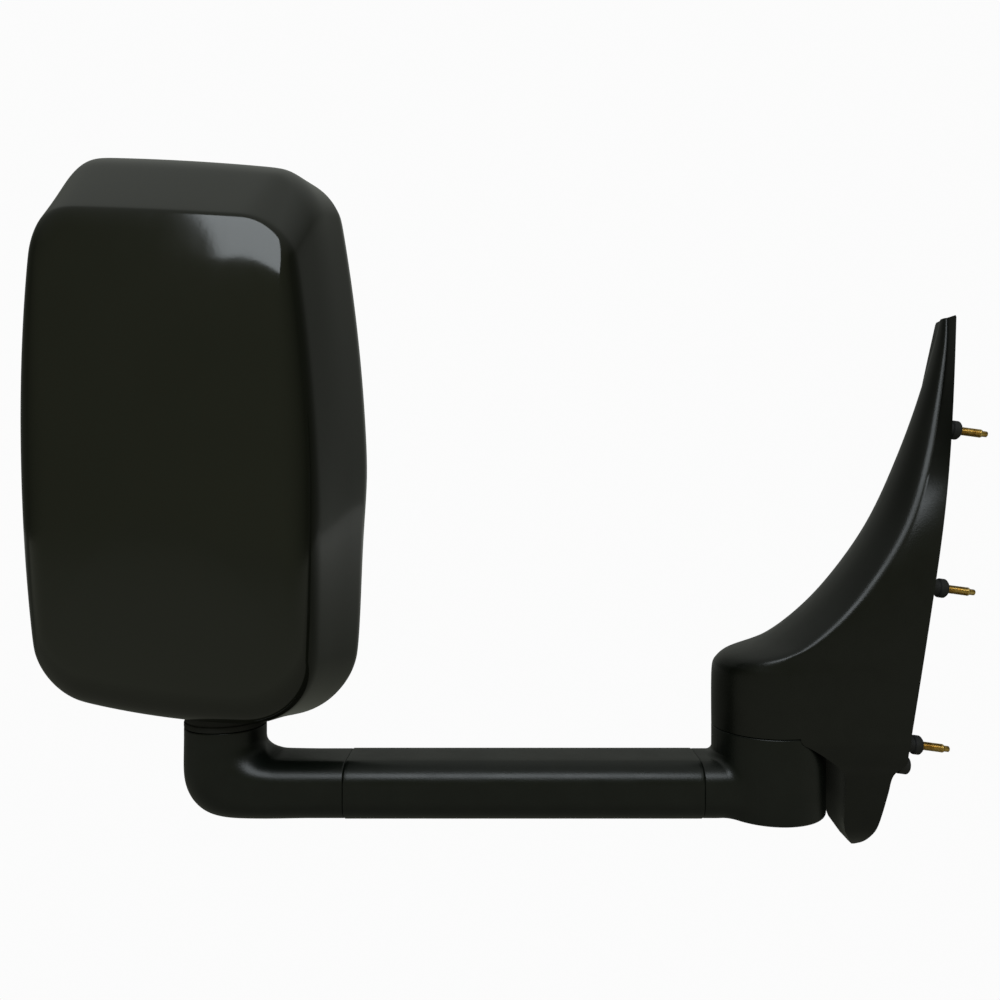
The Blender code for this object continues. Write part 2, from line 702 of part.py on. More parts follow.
def arm_boss():
    here = upright(PIVOT_X, 0)
    inner = BOSS_RADIUS - BOSS_WALL
    bore = BOLT_RADIUS + RUNNING_GAP
    recess = BASE_BOTTOM + 1.3 * MM - GAP - 1.9 * MM - GAP
    edge = 1.0 * MM
    profile = (
        (BOSS_RADIUS - edge, BOSS_TOP),
        (BOSS_RADIUS, BOSS_TOP - edge),
        (BOSS_RADIUS, BOSS_BOTTOM + 1.5 * edge),
        (BOSS_RADIUS - 1.5 * edge, BOSS_BOTTOM),
        (inner, BOSS_BOTTOM),
        (inner, DECK_UNDERSIDE),
        (bore, DECK_UNDERSIDE),
        (bore, recess),
        (28.5 * MM, recess),
        (28.5 * MM, BOSS_TOP),
    )
    boss = turned("arm_boss", profile, "satin_black", here, 36, closed=True)
    seam = PIVOT_X - BOSS_RADIUS - STUB_LENGTH
    fit = TUBE_WALL + GAP
    rings = [
        tube_ring(seam - SPIGOT, fit + 0.8 * MM),
        tube_ring(seam - SPIGOT + 1.5 * MM, fit),
        tube_ring(seam, fit),
        tube_ring(seam, 0.0),
        tube_ring(seam + STUB_LENGTH * 0.45, 0.0),
    ]
    for t, extra in ((0.45, 0.8), (0.75, 2.6), (1.0, 5.5), (1.35, 10.0)):
        rings.append(tube_ring(seam + STUB_LENGTH * (0.45 + 0.55 * t), 0.0, (extra * MM, 0.0)))
    stub = loft("arm_stub", rings)
    cut(stub, rod("boss_room", inner + 2.2 * MM, here, BOSS_BOTTOM - 9 * MM, BOSS_TOP + 5 * MM, 40))
    settle(stub)
    join(boss, stub)
    settle(boss)
    set_origin(boss, (PIVOT_X, 0, 0))
    cap_radius = inner - GAP
    cap_low = BOSS_BOTTOM + 0.6 * MM
    cap = (
        (0, cap_low + 3.4 * MM),
        (cap_radius - 3 * MM, cap_low + 3.4 * MM),
        (cap_radius - 3 * MM, cap_low + 6.4 * MM),
        (cap_radius, cap_low + 6.4 * MM),
        (cap_radius, cap_low + 0.8 * MM),
        (cap_radius - 0.8 * MM, cap_low),
        (0, cap_low),
    )
    turned("boss_cap", cap, "black_plastic", here)


def arm_tube():
    start = NECK_X + ELBOW_ARM
    end = PIVOT_X - BOSS_RADIUS - STUB_LENGTH - GAP
    tube = loft("arm_tube", [tube_ring(start), tube_ring(end)], "satin_black", capped=False)
    wall = tube.modifiers.new("wall", "SOLIDIFY")
    wall.thickness = TUBE_WALL
    wall.offset = -1
    wall.use_even_offset = True
    settle(tube)
    set_origin(tube, (PIVOT_X, 0, 0))


def elbow():
    """Round at the neck, then turned through a quarter about the inner corner into the tube's section."""
    hub_x = NECK_X + NECK_RADIUS + ELBOW_INNER_ROUND
    hub_z = TUBE_TOP + ELBOW_INNER_ROUND
    round_x = NECK_X - NECK_RADIUS + ELBOW_OUTER_ROUND
    round_z = TUBE_TOP - TUBE_HEIGHT + ELBOW_OUTER_ROUND
    seam = NECK_X + ELBOW_ARM - GAP

    def outer_reach(direction):
        """Distance from the hub to the elbow's outer side: two straight sides and a round corner."""
        dx, dz = direction
        to_side = (NECK_X - NECK_RADIUS - hub_x) / dx if dx < -1e-6 else math.inf
        to_floor = (TUBE_TOP - TUBE_HEIGHT - hub_z) / dz if dz < -1e-6 else math.inf
        reach = min(to_side, to_floor)
        x, z = hub_x + reach * dx, hub_z + reach * dz
        if x < round_x and z < round_z:
            mid_x, mid_z = hub_x - round_x, hub_z - round_z
            along = dx * mid_x + dz * mid_z
            reach = -along + math.sqrt(along**2 - mid_x**2 - mid_z**2 + ELBOW_OUTER_ROUND**2)
        return reach

    def neck_ring_points(z):
        section = rounded_section(2 * NECK_RADIUS, 2 * NECK_RADIUS, NECK_RADIUS)
        return [(NECK_X + v, u, z) for u, v in section]

    rings = [neck_ring_points(NECK_TOP), neck_ring_points(hub_z + 0.5 * MM)]
    for t in np.linspace(0.0, 1.0, 8):
        angle = math.pi / 2 * t
        direction = (-math.cos(angle), -math.sin(angle))
        far = outer_reach(direction)
        middle, height = (ELBOW_INNER_ROUND + far) / 2, far - ELBOW_INNER_ROUND
        blend = smooth_step(t * 1.15)
        width = 2 * NECK_RADIUS + (TUBE_DEPTH - 2 * NECK_RADIUS) * blend
        corner = NECK_RADIUS + (TUBE_ROUND - NECK_RADIUS) * blend
        section = rounded_section(width, height, corner)
        rings.append(
            [
                (hub_x + (middle - v) * direction[0], u, hub_z + (middle - v) * direction[1])
                for u, v in section
            ]
        )
    slim = 0.35 * MM
    fit = TUBE_WALL + GAP
    for x, shrink in ((seam - 20 * MM, slim), (seam, slim), (seam, fit)):
        rings.append(tube_ring(x, shrink))
    rings += [tube_ring(seam + SPIGOT - 1.5 * MM, fit), tube_ring(seam + SPIGOT, fit + 0.8 * MM)]
    body = loft("elbow", rings, "satin_black")
    post = rod("post", POST_RADIUS, upright(NECK_X, 0), NECK_TOP - 14 * MM, POST_TOP, 32)
    join(body, post)
    settle(body)
    set_origin(body, (PIVOT_X, 0, 0))


# ---------------------------------------------------------------- swivel joint
FLANGE_LOW = NECK_TOP + GAP + RING_HEIGHT + GAP
FLANGE_TOP = FLANGE_LOW + FLANGE_THICKNESS


def swivel_joint():
    here = upright(NECK_X, 0)
    bore = POST_RADIUS + GAP
    low = NECK_TOP + GAP
    ring("neck_ring", NECK_RADIUS, bore, low + RING_HEIGHT, low, "rubber", here)
    seat = FLANGE_TOP + GAP
    ring("neck_lower_washer", 18 * MM, bore, seat + 2 * MM, seat, "steel", here, 28)
    nut_low = POST_TOP - 13 * MM
    keeper = nut_low - GAP
    ring("neck_upper_washer", 18 * MM, bore, keeper, keeper - 2 * MM, "steel", here, 28)
    coil("neck_spring", 14.6 * MM, 2.4 * MM, seat + 2.4 * MM, keeper - 2.4 * MM, 2.5, "steel", here)
    hexagon(32 * MM, nut_low + 10 * MM, nut_low, bore - 0.15 * MM, "neck_nut", "steel", here)


# ---------------------------------------------------------------- head
def bowed_outline(corners, bows, rounds, side_steps=4, corner_steps=4):
    """Closed (x, z) outline through four corners: each side bows outwards and each corner is rounded."""
    corners = [Vector(corner) for corner in corners]
    count = len(corners)

    def on_side(i, t):
        start, end = corners[i], corners[(i + 1) % count]
        along = end - start
        outward = Vector((-along.y, along.x)).normalized()
        return start + along * t + outward * bows[i] * 4 * t * (1 - t)

    def share(i, radius):
        return radius / (corners[(i + 1) % count] - corners[i]).length

    points = []
    for i in range(count):
        after = (i + 1) % count
        first, last = share(i, rounds[i]), 1 - share(i, rounds[after])
        points += [on_side(i, t) for t in np.linspace(first, last, side_steps + 1)[:-1]]
        start, end = on_side(i, last), on_side(after, share(after, rounds[after]))
        corner = corners[after]
        lean_in, lean_out = start.lerp(corner, 0.56), end.lerp(corner, 0.56)
        for t in np.linspace(0, 1, corner_steps + 1)[:-1]:
            s = 1 - t
            curve = start * s**3 + lean_in * 3 * s * s * t + lean_out * 3 * s * t * t + end * t**3
            points.append(curve)
    return [Vector((point.x * MM, point.y * MM)) for point in points]


def head_corners(shares, inset=0.0):
    """Four corners of the head in millimetres, moved in by a distance."""
    signs = ((1, -1), (-1, -1), (-1, 1), (1, 1))
    left, low = HEAD_OUTER_X / MM, HEAD_LOW_Z / MM
    width, height = HEAD_WIDTH / MM, HEAD_HEIGHT / MM
    return [
        (left + u * width + su * inset, low + v * height + sv * inset)
        for (u, v), (su, sv) in zip(shares, signs)
    ]


def rim_step(point):
    """The inner side steps in beside the lower glass."""
    inner_half = point.x > HEAD_OUTER_X + HEAD_WIDTH / 2
    if not inner_half:
        return point
    fall = smooth_step((GLASS_SPLIT_Z + 10 * MM - point.y) / (16 * MM))
    across = smooth_step((point.x - NECK_X - 9.5 * MM) / (40 * MM))
    return Vector((point.x - RIM_STEP * fall * across, point.y))


def rim_outline(inset=0.0, **steps):
    rounds = [max(r - inset / MM * 0.5, 6) for r in RIM_ROUNDS]
    outline = bowed_outline(head_corners(RIM_CORNERS, inset / MM), RIM_BOWS, rounds, **steps)
    return [rim_step(point) for point in outline]


def head_rows(side_steps=4, corner_steps=4):
    """Rings of the head's skin from the rear rim, round the front edge, to the middle of the front."""
    rim = rim_outline(side_steps=side_steps, corner_steps=corner_steps)
    front = bowed_outline(head_corners(FRONT_CORNERS), FRONT_BOWS, FRONT_ROUNDS, side_steps, corner_steps)
    middle = sum(front, Vector((0, 0))) / len(front)
    meridians = []
    for i, (outer, corner) in enumerate(zip(rim, front)):
        along = rim[(i + 1) % len(rim)] - rim[i - 1]
        upward = max(along.x / along.length, 0.0) ** 2
        share = 0.5 + (TOP_BREAK_DROP - 0.5) * upward
        break_y = (HEAD_REAR_Y + HEAD_FRONT_Y) / 2 * (1 - upward) + TOP_BREAK_Y * upward
        at_break = outer.lerp(corner, share)
        rear = Vector((outer.x, HEAD_REAR_Y - RIM_STRAIGHT, outer.y))
        kink = Vector((at_break.x, break_y, at_break.y))
        edge = Vector((corner.x, HEAD_FRONT_Y, corner.y))
        line = [Vector((outer.x, HEAD_REAR_Y, outer.y)), rear]
        line += rounded(rear, kink, edge, BREAK_ROUND, 3)
        inward = middle - corner

        def panel(s, inward=inward, corner=corner):
            place = corner + inward * (1 - s)
            return Vector((place.x, HEAD_FRONT_Y - HEAD_CROWN * (1 - s * s), place.y))

        start = panel(1 - FRONT_ROUND / inward.length)
        line += rounded(kink, edge, start, FRONT_ROUND, 4)
        line += [panel(s) for s in (0.6, 0.3)]
        meridians.append(line)
    rings = [list(ring_points) for ring_points in zip(*meridians)]
    rings.append([Vector((middle.x, HEAD_FRONT_Y - HEAD_CROWN, middle.y))])
    return rings


def rounded(before, corner, after, size, steps):
    """Points of a curve that rounds off a corner, starting and ending at a distance from it."""
    start = corner + (before - corner).normalized() * min(size, (before - corner).length * 0.95)
    end = corner + (after - corner).normalized() * min(size, (after - corner).length)
    return [
        start * (1 - t) ** 2 + corner * 2 * t * (1 - t) + end * t * t for t in np.linspace(0, 1, steps)
    ]


SCREW_PLACES = [
    (NECK_X - 30 * MM + dx, POST_TOP + up) for up in (66 * MM, 196 * MM) for dx in (-24 * MM, 26 * MM)
]


def head_shell():
    shell = loft("head_shell", head_rows(), "gloss_black", capped=False)
    wall = shell.modifiers.new("wall", "SOLIDIFY")
    wall.thickness = HEAD_WALL
    wall.offset = -1
    wall.use_even_offset = True
    settle(shell)
    hole = rod("neck_hole", NECK_RADIUS + 0.9 * MM, upright(NECK_X, 0), -125 * MM, -70 * MM, 40)
    boss_end = HEAD_FRONT_Y - HEAD_CROWN * 0.6
    for i, (x, z) in enumerate(SCREW_PLACES):
        boss = rod(f"shell_boss_{i}", 5.5 * MM, facing_rear(x, 0, z), boss_end, BRACKET_Y - GAP, 16)
        join(shell, boss)
        thread = rod(f"shell_thread_{i}", 2.2 * MM, facing_rear(x, 0, z), -16 * MM, 0, 12)
        cut(shell, thread)
    cut(shell, hole)
    settle(shell)
    set_origin(shell, (NECK_X, 0, 0))


def window_corners(upper, inset):
    """Corners of one glass opening in millimetres, inside the rim, above or below the dividing bar."""
    (tlx, tlz), (trx, trz), (brx, brz), (blx, blz) = head_corners(RIM_CORNERS)
    low_rim, high_rim = (brz + blz) / 2, (tlz + trz) / 2

    def left_at(z):
        t = (z - low_rim) / (high_rim - low_rim)
        return blx + (tlx - blx) * t - RIM_BOWS[3] * 4 * t * (1 - t) + inset

    def right_at(z):
        t = (z - low_rim) / (high_rim - low_rim)
        step = 0 if z > GLASS_SPLIT_Z / MM else RIM_STEP / MM
        return brx + (trx - brx) * t + RIM_BOWS[1] * 4 * t * (1 - t) - inset - step

    bar = GLASS_BAR / MM / 2
    split = GLASS_SPLIT_Z / MM
    border = BEZEL_BORDER / MM + HEAD_WALL / MM
    extra = inset - border
    if upper:
        low = split + bar + extra
        corners = [(tlx + inset, tlz - inset), (trx - inset, trz - inset)]
        corners += [(right_at(low), low), (left_at(low), low)]
        part = (high_rim - low) / (high_rim - low_rim)
        return corners, (RIM_BOWS[0], RIM_BOWS[1] * part**2, 0, RIM_BOWS[3] * part**2)
    high = split - bar - extra
    corners = [(left_at(high), high), (right_at(high), high)]
    corners += [(brx - inset - RIM_STEP / MM, brz + inset), (blx + inset, blz + inset)]
    part = (high - low_rim) / (high_rim - low_rim)
    return corners, (0, RIM_BOWS[1] * part**2, RIM_BOWS[2], RIM_BOWS[3] * part**2)


def window_outline(upper, inset, **steps):
    corners, bows = window_corners(upper, inset / MM)
    shrink = inset / MM * 0.8
    rounds = (RIM_ROUNDS[0] - shrink, RIM_ROUNDS[1] - shrink, 12, 12)
    if not upper:
        rounds = (12, 12, RIM_ROUNDS[2] - shrink, RIM_ROUNDS[3] - shrink)
    return bowed_outline(corners, bows, rounds, **steps)


def xz_plate(name, outline, y_front, thickness, finish=None):
    """A flat outline given in (x, z), extruded from y_front towards the rear."""
    flipped = [(point.x, -point.y) for point in outline]
    return flat_plate(name, flipped, thickness, facing_rear(0, y_front, 0), finish)


BORDER_INSET = HEAD_WALL + BEZEL_BORDER
GLASS_INSET = BORDER_INSET + GLASS_MARGIN


def head_bezel():
    front = HEAD_REAR_Y - BEZEL_SET_BACK - BEZEL_DEPTH
    outline = rim_outline(HEAD_WALL + 2 * GAP)
    bezel = xz_plate("head_bezel", outline, front, BEZEL_DEPTH, "black_plastic")
    for upper in (True, False):
        opening = window_outline(upper, BORDER_INSET)
        cut(bezel, xz_plate(f"window_{upper}", opening, front - 5 * MM, BEZEL_DEPTH + 10 * MM))
    settle(bezel)
    set_origin(bezel, (NECK_X, 0, 0))


def glass_middle(upper):
    """(x, z) of the middle of one glass, where its pivot ball sits."""
    outline = window_outline(upper, GLASS_INSET)
    xs, zs = [p.x for p in outline], [p.y for p in outline]
    return (min(xs) + max(xs)) / 2, (min(zs) + max(zs)) / 2


def dished_plate(name, outline, middle, front_y, thickness, bulge, finish):
    """A plate with a slightly domed face: rings shrink to the middle while they move out by the bulge."""
    shares = (1.0, 0.66, 0.33) if bulge else (1.0,)
    centre = Vector(middle)

    def level(share, y):
        rise = bulge * (1 - share * share)
        across = [((p.x - centre.x) * share, (p.y - centre.y) * share) for p in outline]
        return [(centre.x + dx, y + rise, centre.y + dz) for dx, dz in across]

    rings = [[(centre.x, front_y + bulge, centre.y)]] if bulge else []
    rings += [level(share, front_y) for share in reversed(shares)]
    rings += [level(share, front_y + thickness) for share in shares]
    if bulge:
        rings.append([(centre.x, front_y + thickness + bulge, centre.y)])
    return loft(name, rings, finish)


def glass_unit(word, upper):
    """One glass with its carrier plate and its pivot ball."""
    x, z = glass_middle(upper)
    centre = Vector((x, BALL_Y, z))
    bulge = 0.0 if upper else LOWER_BULGE
    outline = window_outline(upper, GLASS_INSET)
    back = GLASS_FACE_Y - GLASS_THICKNESS
    glass = dished_plate(f"{word}_glass", outline, (x, z), back, GLASS_THICKNESS, bulge, "glass_mirror")
    settle(glass)
    set_origin(glass, centre)

    smaller = window_outline(upper, GLASS_INSET + 1.5 * MM)
    front = GLASS_FACE_Y - GLASS_THICKNESS - GAP - HOLDER_THICKNESS
    name = f"{word}_glass_holder"
    holder = dished_plate(name, smaller, (x, z), front, HOLDER_THICKNESS, bulge, "black_plastic")
    here = facing_rear(x, 0, z)
    reach = front + bulge + HOLDER_THICKNESS / 2
    cup = rod(f"{word}_holder_cup", TOWER_RADIUS + 1.5 * MM, here, BALL_Y - 1 * MM, reach, 20)
    join(holder, cup)
    cut(holder, ball(f"{word}_holder_socket", BALL_RADIUS + GAP, centre))
    slot = Matrix.Translation(centre) @ Matrix.Rotation(math.pi / 2, 4, "Y")
    cut(holder, rod(f"{word}_pin_slot", PIN_RADIUS + GAP, slot, -30 * MM, 30 * MM, 16))
    settle(holder)
    set_origin(holder, centre)

    pivot = ball(f"{word}_pivot_ball", BALL_RADIUS, centre)
    CUTTERS.objects.unlink(pivot)
    PIECES.objects.link(pivot)
    pivot.hide_render = False
    pivot.display_type = "TEXTURED"
    pivot.data.materials.append(look("nylon"))
    join(pivot, rod(f"{word}_pins", PIN_RADIUS, slot, -PIN_REACH, PIN_REACH, 16))
    settle(pivot)
    set_origin(pivot, centre)


def head_bracket():
    """Upright plate with two cups for the pivot balls, standing on the flange that turns on the post."""
    left = NECK_X - 30 * MM - BRACKET_WIDTH / 2
    right = left + BRACKET_WIDTH
    bracket = box(
        "head_bracket",
        (left, BRACKET_Y, POST_TOP + 2 * MM),
        (right, BRACKET_Y + BRACKET_PLATE, BRACKET_TOP),
        "cast_metal",
    )
    here = upright(NECK_X, 0)
    bore = POST_RADIUS + GAP
    flange = ring("neck_flange", NECK_RADIUS - 0.5 * MM, bore, FLANGE_TOP, FLANGE_LOW, None, here)
    flat = ((NECK_X - 40 * MM, FLANGE_FLAT_Y, FLANGE_LOW - 9 * MM), (NECK_X + 40 * MM, 60 * MM, 0))
    cut(flange, box("flange_flat", *flat))
    settle(flange)
    join(bracket, flange)
    web_low, web_high = FLANGE_LOW + 1 * MM, POST_TOP + 12 * MM
    for side, x in (("outer", NECK_X - 27 * MM), ("inner", NECK_X + 21 * MM)):
        join(bracket, box(f"{side}_web", (x, -8 * MM, web_low), (x + 6 * MM, 8 * MM, web_high)))
    for upper in (True, False):
        x, z = glass_middle(upper)
        here = facing_rear(x, 0, z)
        join(bracket, rod(f"tower_{upper}", TOWER_RADIUS, here, BRACKET_Y + 1 * MM, BALL_Y - 5 * MM, 20))
        cut(bracket, ball(f"tower_socket_{upper}", BALL_RADIUS + GAP, (x, BALL_Y, z)))
    for i, (x, z) in enumerate(SCREW_PLACES):
        cut(bracket, rod(f"bracket_hole_{i}", 2.6 * MM, facing_rear(x, 0, z), -9 * MM, 9 * MM, 16))
        head = BRACKET_Y + BRACKET_PLATE + GAP
        profile = (
            (0, head + 2.2 * MM),
            (3.6 * MM, head + 2.2 * MM),
            (4.5 * MM, head + 1.2 * MM),
            (4.5 * MM, head),
            (2.0 * MM, head),
            (2.0 * MM, -14 * MM),
            (0, -14 * MM),
        )
        turned(f"bracket_screw_{i + 1}", profile, "steel", facing_rear(x, 0, z), 16)
    settle(bracket)
    set_origin(bracket, (NECK_X, 0, 0))


def hang_on_axes():
    """Parents every moving piece to an empty on its joint's axis, where it already is in place."""
    arm_words = ("arm_", "elbow", "boss_cap", "neck_")
    centres = {word: glass_middle(word == "upper") for word in ("upper", "lower")}
    axes = [("arm_axis", None, (PIVOT_X, 0, BOSS_TOP), arm_words)]
    axes.append(("head_axis", "arm_axis", (NECK_X, 0, NECK_TOP), ("head_", "bracket_screw")))
    for word, (x, z) in centres.items():
        axes.append((f"{word}_aim", "head_axis", (x, BALL_Y, z), (f"{word}_glass", f"{word}_pivot")))
    pieces = [thing for thing in PIECES.objects if thing.type == "MESH"]
    for name, above, place, starts in axes:
        empty = bpy.data.objects.new(name, None)
        PIECES.objects.link(empty)
        followers = [piece for piece in pieces if piece.name.startswith(starts)]
        if above:
            empty.parent = bpy.data.objects[above]
            empty.matrix_parent_inverse = empty.parent.matrix_world.inverted()
        empty.location = place
        bpy.context.view_layer.update()
        for piece in followers:
            piece.parent = empty
            piece.matrix_parent_inverse = empty.matrix_world.inverted()
    bpy.context.view_layer.update()


base_cover()
base_bracket()
door_gasket()
door_studs()
locating_peg()
folding_joint()
arm_boss()
arm_tube()
elbow()
swivel_joint()
head_shell()
head_bezel()
head_bracket()
glass_unit("upper", True)
glass_unit("lower", False)
hang_on_axes()
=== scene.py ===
# %% [markdown]
# # A towing mirror, finished piece by piece
# The fixed frame is loaded first: it holds every solid of the mirror in its place.
# Each curved piece that shows is then made again as a fine surface worked out with numpy.
# A piece that is already right, such as a nut or a flat gasket, keeps its shape and gets a better finish.

import json
import math

import bmesh
import bpy
import numpy as np
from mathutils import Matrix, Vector

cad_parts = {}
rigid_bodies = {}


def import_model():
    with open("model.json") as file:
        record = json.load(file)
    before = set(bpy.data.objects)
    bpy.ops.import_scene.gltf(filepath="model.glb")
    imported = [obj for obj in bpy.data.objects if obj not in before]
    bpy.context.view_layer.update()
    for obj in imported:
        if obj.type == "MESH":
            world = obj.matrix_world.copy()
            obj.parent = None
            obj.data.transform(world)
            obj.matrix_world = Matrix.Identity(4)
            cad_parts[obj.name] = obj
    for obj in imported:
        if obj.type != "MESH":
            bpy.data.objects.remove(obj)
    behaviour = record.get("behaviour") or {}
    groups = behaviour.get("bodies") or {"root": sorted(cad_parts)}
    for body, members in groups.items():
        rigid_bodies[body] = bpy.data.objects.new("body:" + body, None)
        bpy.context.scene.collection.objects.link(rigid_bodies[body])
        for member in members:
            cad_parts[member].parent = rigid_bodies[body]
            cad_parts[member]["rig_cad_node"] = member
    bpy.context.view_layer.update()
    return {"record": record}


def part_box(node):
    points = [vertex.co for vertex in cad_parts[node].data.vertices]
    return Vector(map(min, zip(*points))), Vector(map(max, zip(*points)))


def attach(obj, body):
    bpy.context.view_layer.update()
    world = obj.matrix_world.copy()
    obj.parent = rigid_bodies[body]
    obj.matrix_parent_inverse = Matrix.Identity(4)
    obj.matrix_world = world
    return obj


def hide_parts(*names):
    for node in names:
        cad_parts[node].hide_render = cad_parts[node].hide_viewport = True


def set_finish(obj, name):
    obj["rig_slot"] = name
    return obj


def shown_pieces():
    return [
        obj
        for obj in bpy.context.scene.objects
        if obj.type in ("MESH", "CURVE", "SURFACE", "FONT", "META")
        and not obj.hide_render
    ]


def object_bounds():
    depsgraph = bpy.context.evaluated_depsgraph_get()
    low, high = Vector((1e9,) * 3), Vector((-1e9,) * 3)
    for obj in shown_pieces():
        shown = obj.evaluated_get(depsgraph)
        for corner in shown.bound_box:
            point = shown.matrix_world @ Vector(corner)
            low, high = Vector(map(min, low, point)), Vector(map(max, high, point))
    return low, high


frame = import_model()
MM = 0.001


# %% Where the joints are
def middle(node):
    """Half way between a node's lowest and highest corner."""
    low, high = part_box(node)
    return (low + high) / 2


PIVOT_X = middle("pivot_nut").x
NECK_X = middle("neck_ring").x
NECK_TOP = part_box("neck_ring")[0].z - 0.3 * MM
DOOR_LEAN = math.radians(7.5)
print("folding axis at x =", round(PIVOT_X, 4), "and swivel axis at x =", round(NECK_X, 4))

# %% [markdown]
# ## Surfaces from grids
# Nearly every piece here is a grid of points: one parameter runs round the piece, the other along it.
# Numpy fills the whole grid at once, and one helper turns the grid into quads.
# A coarse grid can be made smooth with cubic B-spline weights, which give a surface whose reflections
# have no kinks. That matters on gloss paint, where every flat spot shows.


# %% From a grid of points to a mesh
def grid_faces(rows, cols, wrap_rows=False, wrap_cols=False):
    """Quads between neighbouring grid points: (i, j), (i, j+1), (i+1, j+1), (i+1, j), wrapped if closed."""
    index = np.arange(rows * cols).reshape(rows, cols)
    if wrap_cols:
        index = np.hstack([index, index[:, :1]])
    if wrap_rows:
        index = np.vstack([index, index[:1]])
    corners = (index[:-1, :-1], index[:-1, 1:], index[1:, 1:], index[1:, :-1])
    return np.stack(corners, -1).reshape(-1, 4)


def surface(name, points, wrap_rows=False, wrap_cols=True, ends="open", sharp=38.0):
    """A mesh object over a grid of points. Ends may be left open, or closed with one face each."""
    rows, cols = points.shape[:2]
    faces = grid_faces(rows, cols, wrap_rows, wrap_cols).tolist()
    if ends == "closed":
        first = np.arange(cols).tolist()
        faces += [first[::-1], (np.arange(cols) + (rows - 1) * cols).tolist()]
    mesh = bpy.data.meshes.new(name)
    mesh.from_pydata(points.reshape(-1, 3).tolist(), [], faces)
    return tidy_object(name, mesh, sharp)


def tidy_object(name, mesh, sharp=38.0):
    """Merges doubled points, turns faces outwards, shades smooth and links the object to the scene."""
    work = bmesh.new()
    work.from_mesh(mesh)
    bmesh.ops.remove_doubles(work, verts=work.verts, dist=0.004 * MM)
    bmesh.ops.dissolve_degenerate(work, edges=work.edges, dist=0.001 * MM)
    bmesh.ops.recalc_face_normals(work, faces=work.faces)
    work.to_mesh(mesh)
    work.free()
    mesh.shade_smooth()
    mesh.set_sharp_from_angle(angle=math.radians(sharp))
    thing = bpy.data.objects.new(name, mesh)
    bpy.context.scene.collection.objects.link(thing)
    return thing


# %% Smooth surfaces from a coarse grid
def spline_weights(count, fine, wrap):
    """Matrix that turns control points into points of a uniform cubic B-spline.

    At a place u between controls i and i+1, the weights of controls i-1 to i+2 are
    (1-u)^3/6, (3u^3-6u^2+4)/6, (-3u^3+3u^2+3u+1)/6 and u^3/6. Past an open end, the missing
    control is the end one reflected: 2 * end - next.
    """
    spans = count if wrap else count - 1
    steps = spans * fine + (0 if wrap else 1)
    place = np.arange(steps) / fine
    span = np.minimum(np.floor(place).astype(int), spans - 1)
    u = place - span
    parts = np.stack([(1 - u) ** 3, 3 * u**3 - 6 * u**2 + 4, -3 * u**3 + 3 * u**2 + 3 * u + 1, u**3], 1) / 6
    rows = np.arange(steps)[:, None]
    columns = span[:, None] + np.arange(4)
    weights = np.zeros((steps, count if wrap else count + 2))
    np.add.at(weights, (rows, (columns - 1) % count if wrap else columns), parts)
    if wrap:
        return weights
    weights[:, 1] += 2 * weights[:, 0]
    weights[:, 2] -= weights[:, 0]
    weights[:, -2] += 2 * weights[:, -1]
    weights[:, -3] -= weights[:, -1]
    return weights[:, 1:-1]


def smooth_grid(points, fine_rows=1, fine_cols=1, wrap_cols=True):
    """The B-spline surface over a control grid: weights along the rows times weights round the columns."""
    made = points
    if fine_rows > 1:
        made = np.einsum("ij,jkc->ikc", spline_weights(points.shape[0], fine_rows, False), made)
    if fine_cols > 1:
        made = np.einsum("ij,kjc->kic", spline_weights(points.shape[1], fine_cols, wrap_cols), made)
    return made


def grid_normals(points):
    """Unit normals of a grid that closes round its columns: the cross product of its two directions."""
    round_it = np.roll(points, -1, 1) - np.roll(points, 1, 1)
    along = np.gradient(points, axis=0)
    normal = np.cross(round_it, along)
    return normal / np.maximum(np.linalg.norm(normal, axis=2, keepdims=True), 1e-12)


# %% Turned shapes and booleans
def eased(t):
    """Smooth step: 3t^2 - 2t^3, flat at both ends."""
    t = np.clip(t, 0.0, 1.0)
    return t * t * (3 - 2 * t)


def bezier(start, corner, end, steps, weight=1.0):
    """Quadratic curve from start to end that leans on a corner: (1-t)^2 A + 2t(1-t) C + t^2 B."""
    t = np.linspace(0, 1, steps).reshape((-1,) + (1,) * np.ndim(start))
    lean = 2 * t * (1 - t) * weight
    return ((1 - t) ** 2 * start + lean * corner + t**2 * end) / ((1 - t) ** 2 + lean + t**2)


def soft_profile(points, radius, steps=5):
    """A profile with its corners rounded: each corner becomes a circle-like arc of about the given size."""
    points = np.array(points, float)
    radii = np.broadcast_to(np.array(radius, float), len(points))
    rows = [points[:1]]
    for i in range(1, len(points) - 1):
        before, corner, after = points[i - 1 : i + 2]
        back, on = before - corner, after - corner
        reach = min(radii[i], 0.49 * np.linalg.norm(back), 0.49 * np.linalg.norm(on))
        start = corner + back / np.linalg.norm(back) * reach
        end = corner + on / np.linalg.norm(on) * reach
        rows.append(bezier(start, corner, end, steps, 0.75))
    rows.append(points[-1:])
    return np.vstack(rows)


def turned_grid(profile, axes, steps=96):
    """A profile of (radius, height) carried round an axis: origin + r cos(a) X + r sin(a) Y + h Z."""
    origin, across, other, up = (np.array(part, float) for part in axes)
    turn = np.arange(steps) * math.tau / steps
    radius, height = np.array(profile, float).T
    ring = np.cos(turn)[:, None] * across + np.sin(turn)[:, None] * other
    return origin + radius[:, None, None] * ring + height[:, None, None] * up


def upright(x, y=0.0, z=0.0):
    """Axes of an upright turned piece."""
    return (x, y, z), (1, 0, 0), (0, 1, 0), (0, 0, 1)


def cylinder(name, x, radius, high, low):
    """A plain upright cutter in millimetres: the four corners of its profile turned about x."""
    profile = np.array([(0, high), (radius, high), (radius, low), (0, low)]) * MM
    return surface(name, turned_grid(profile, upright(x)))


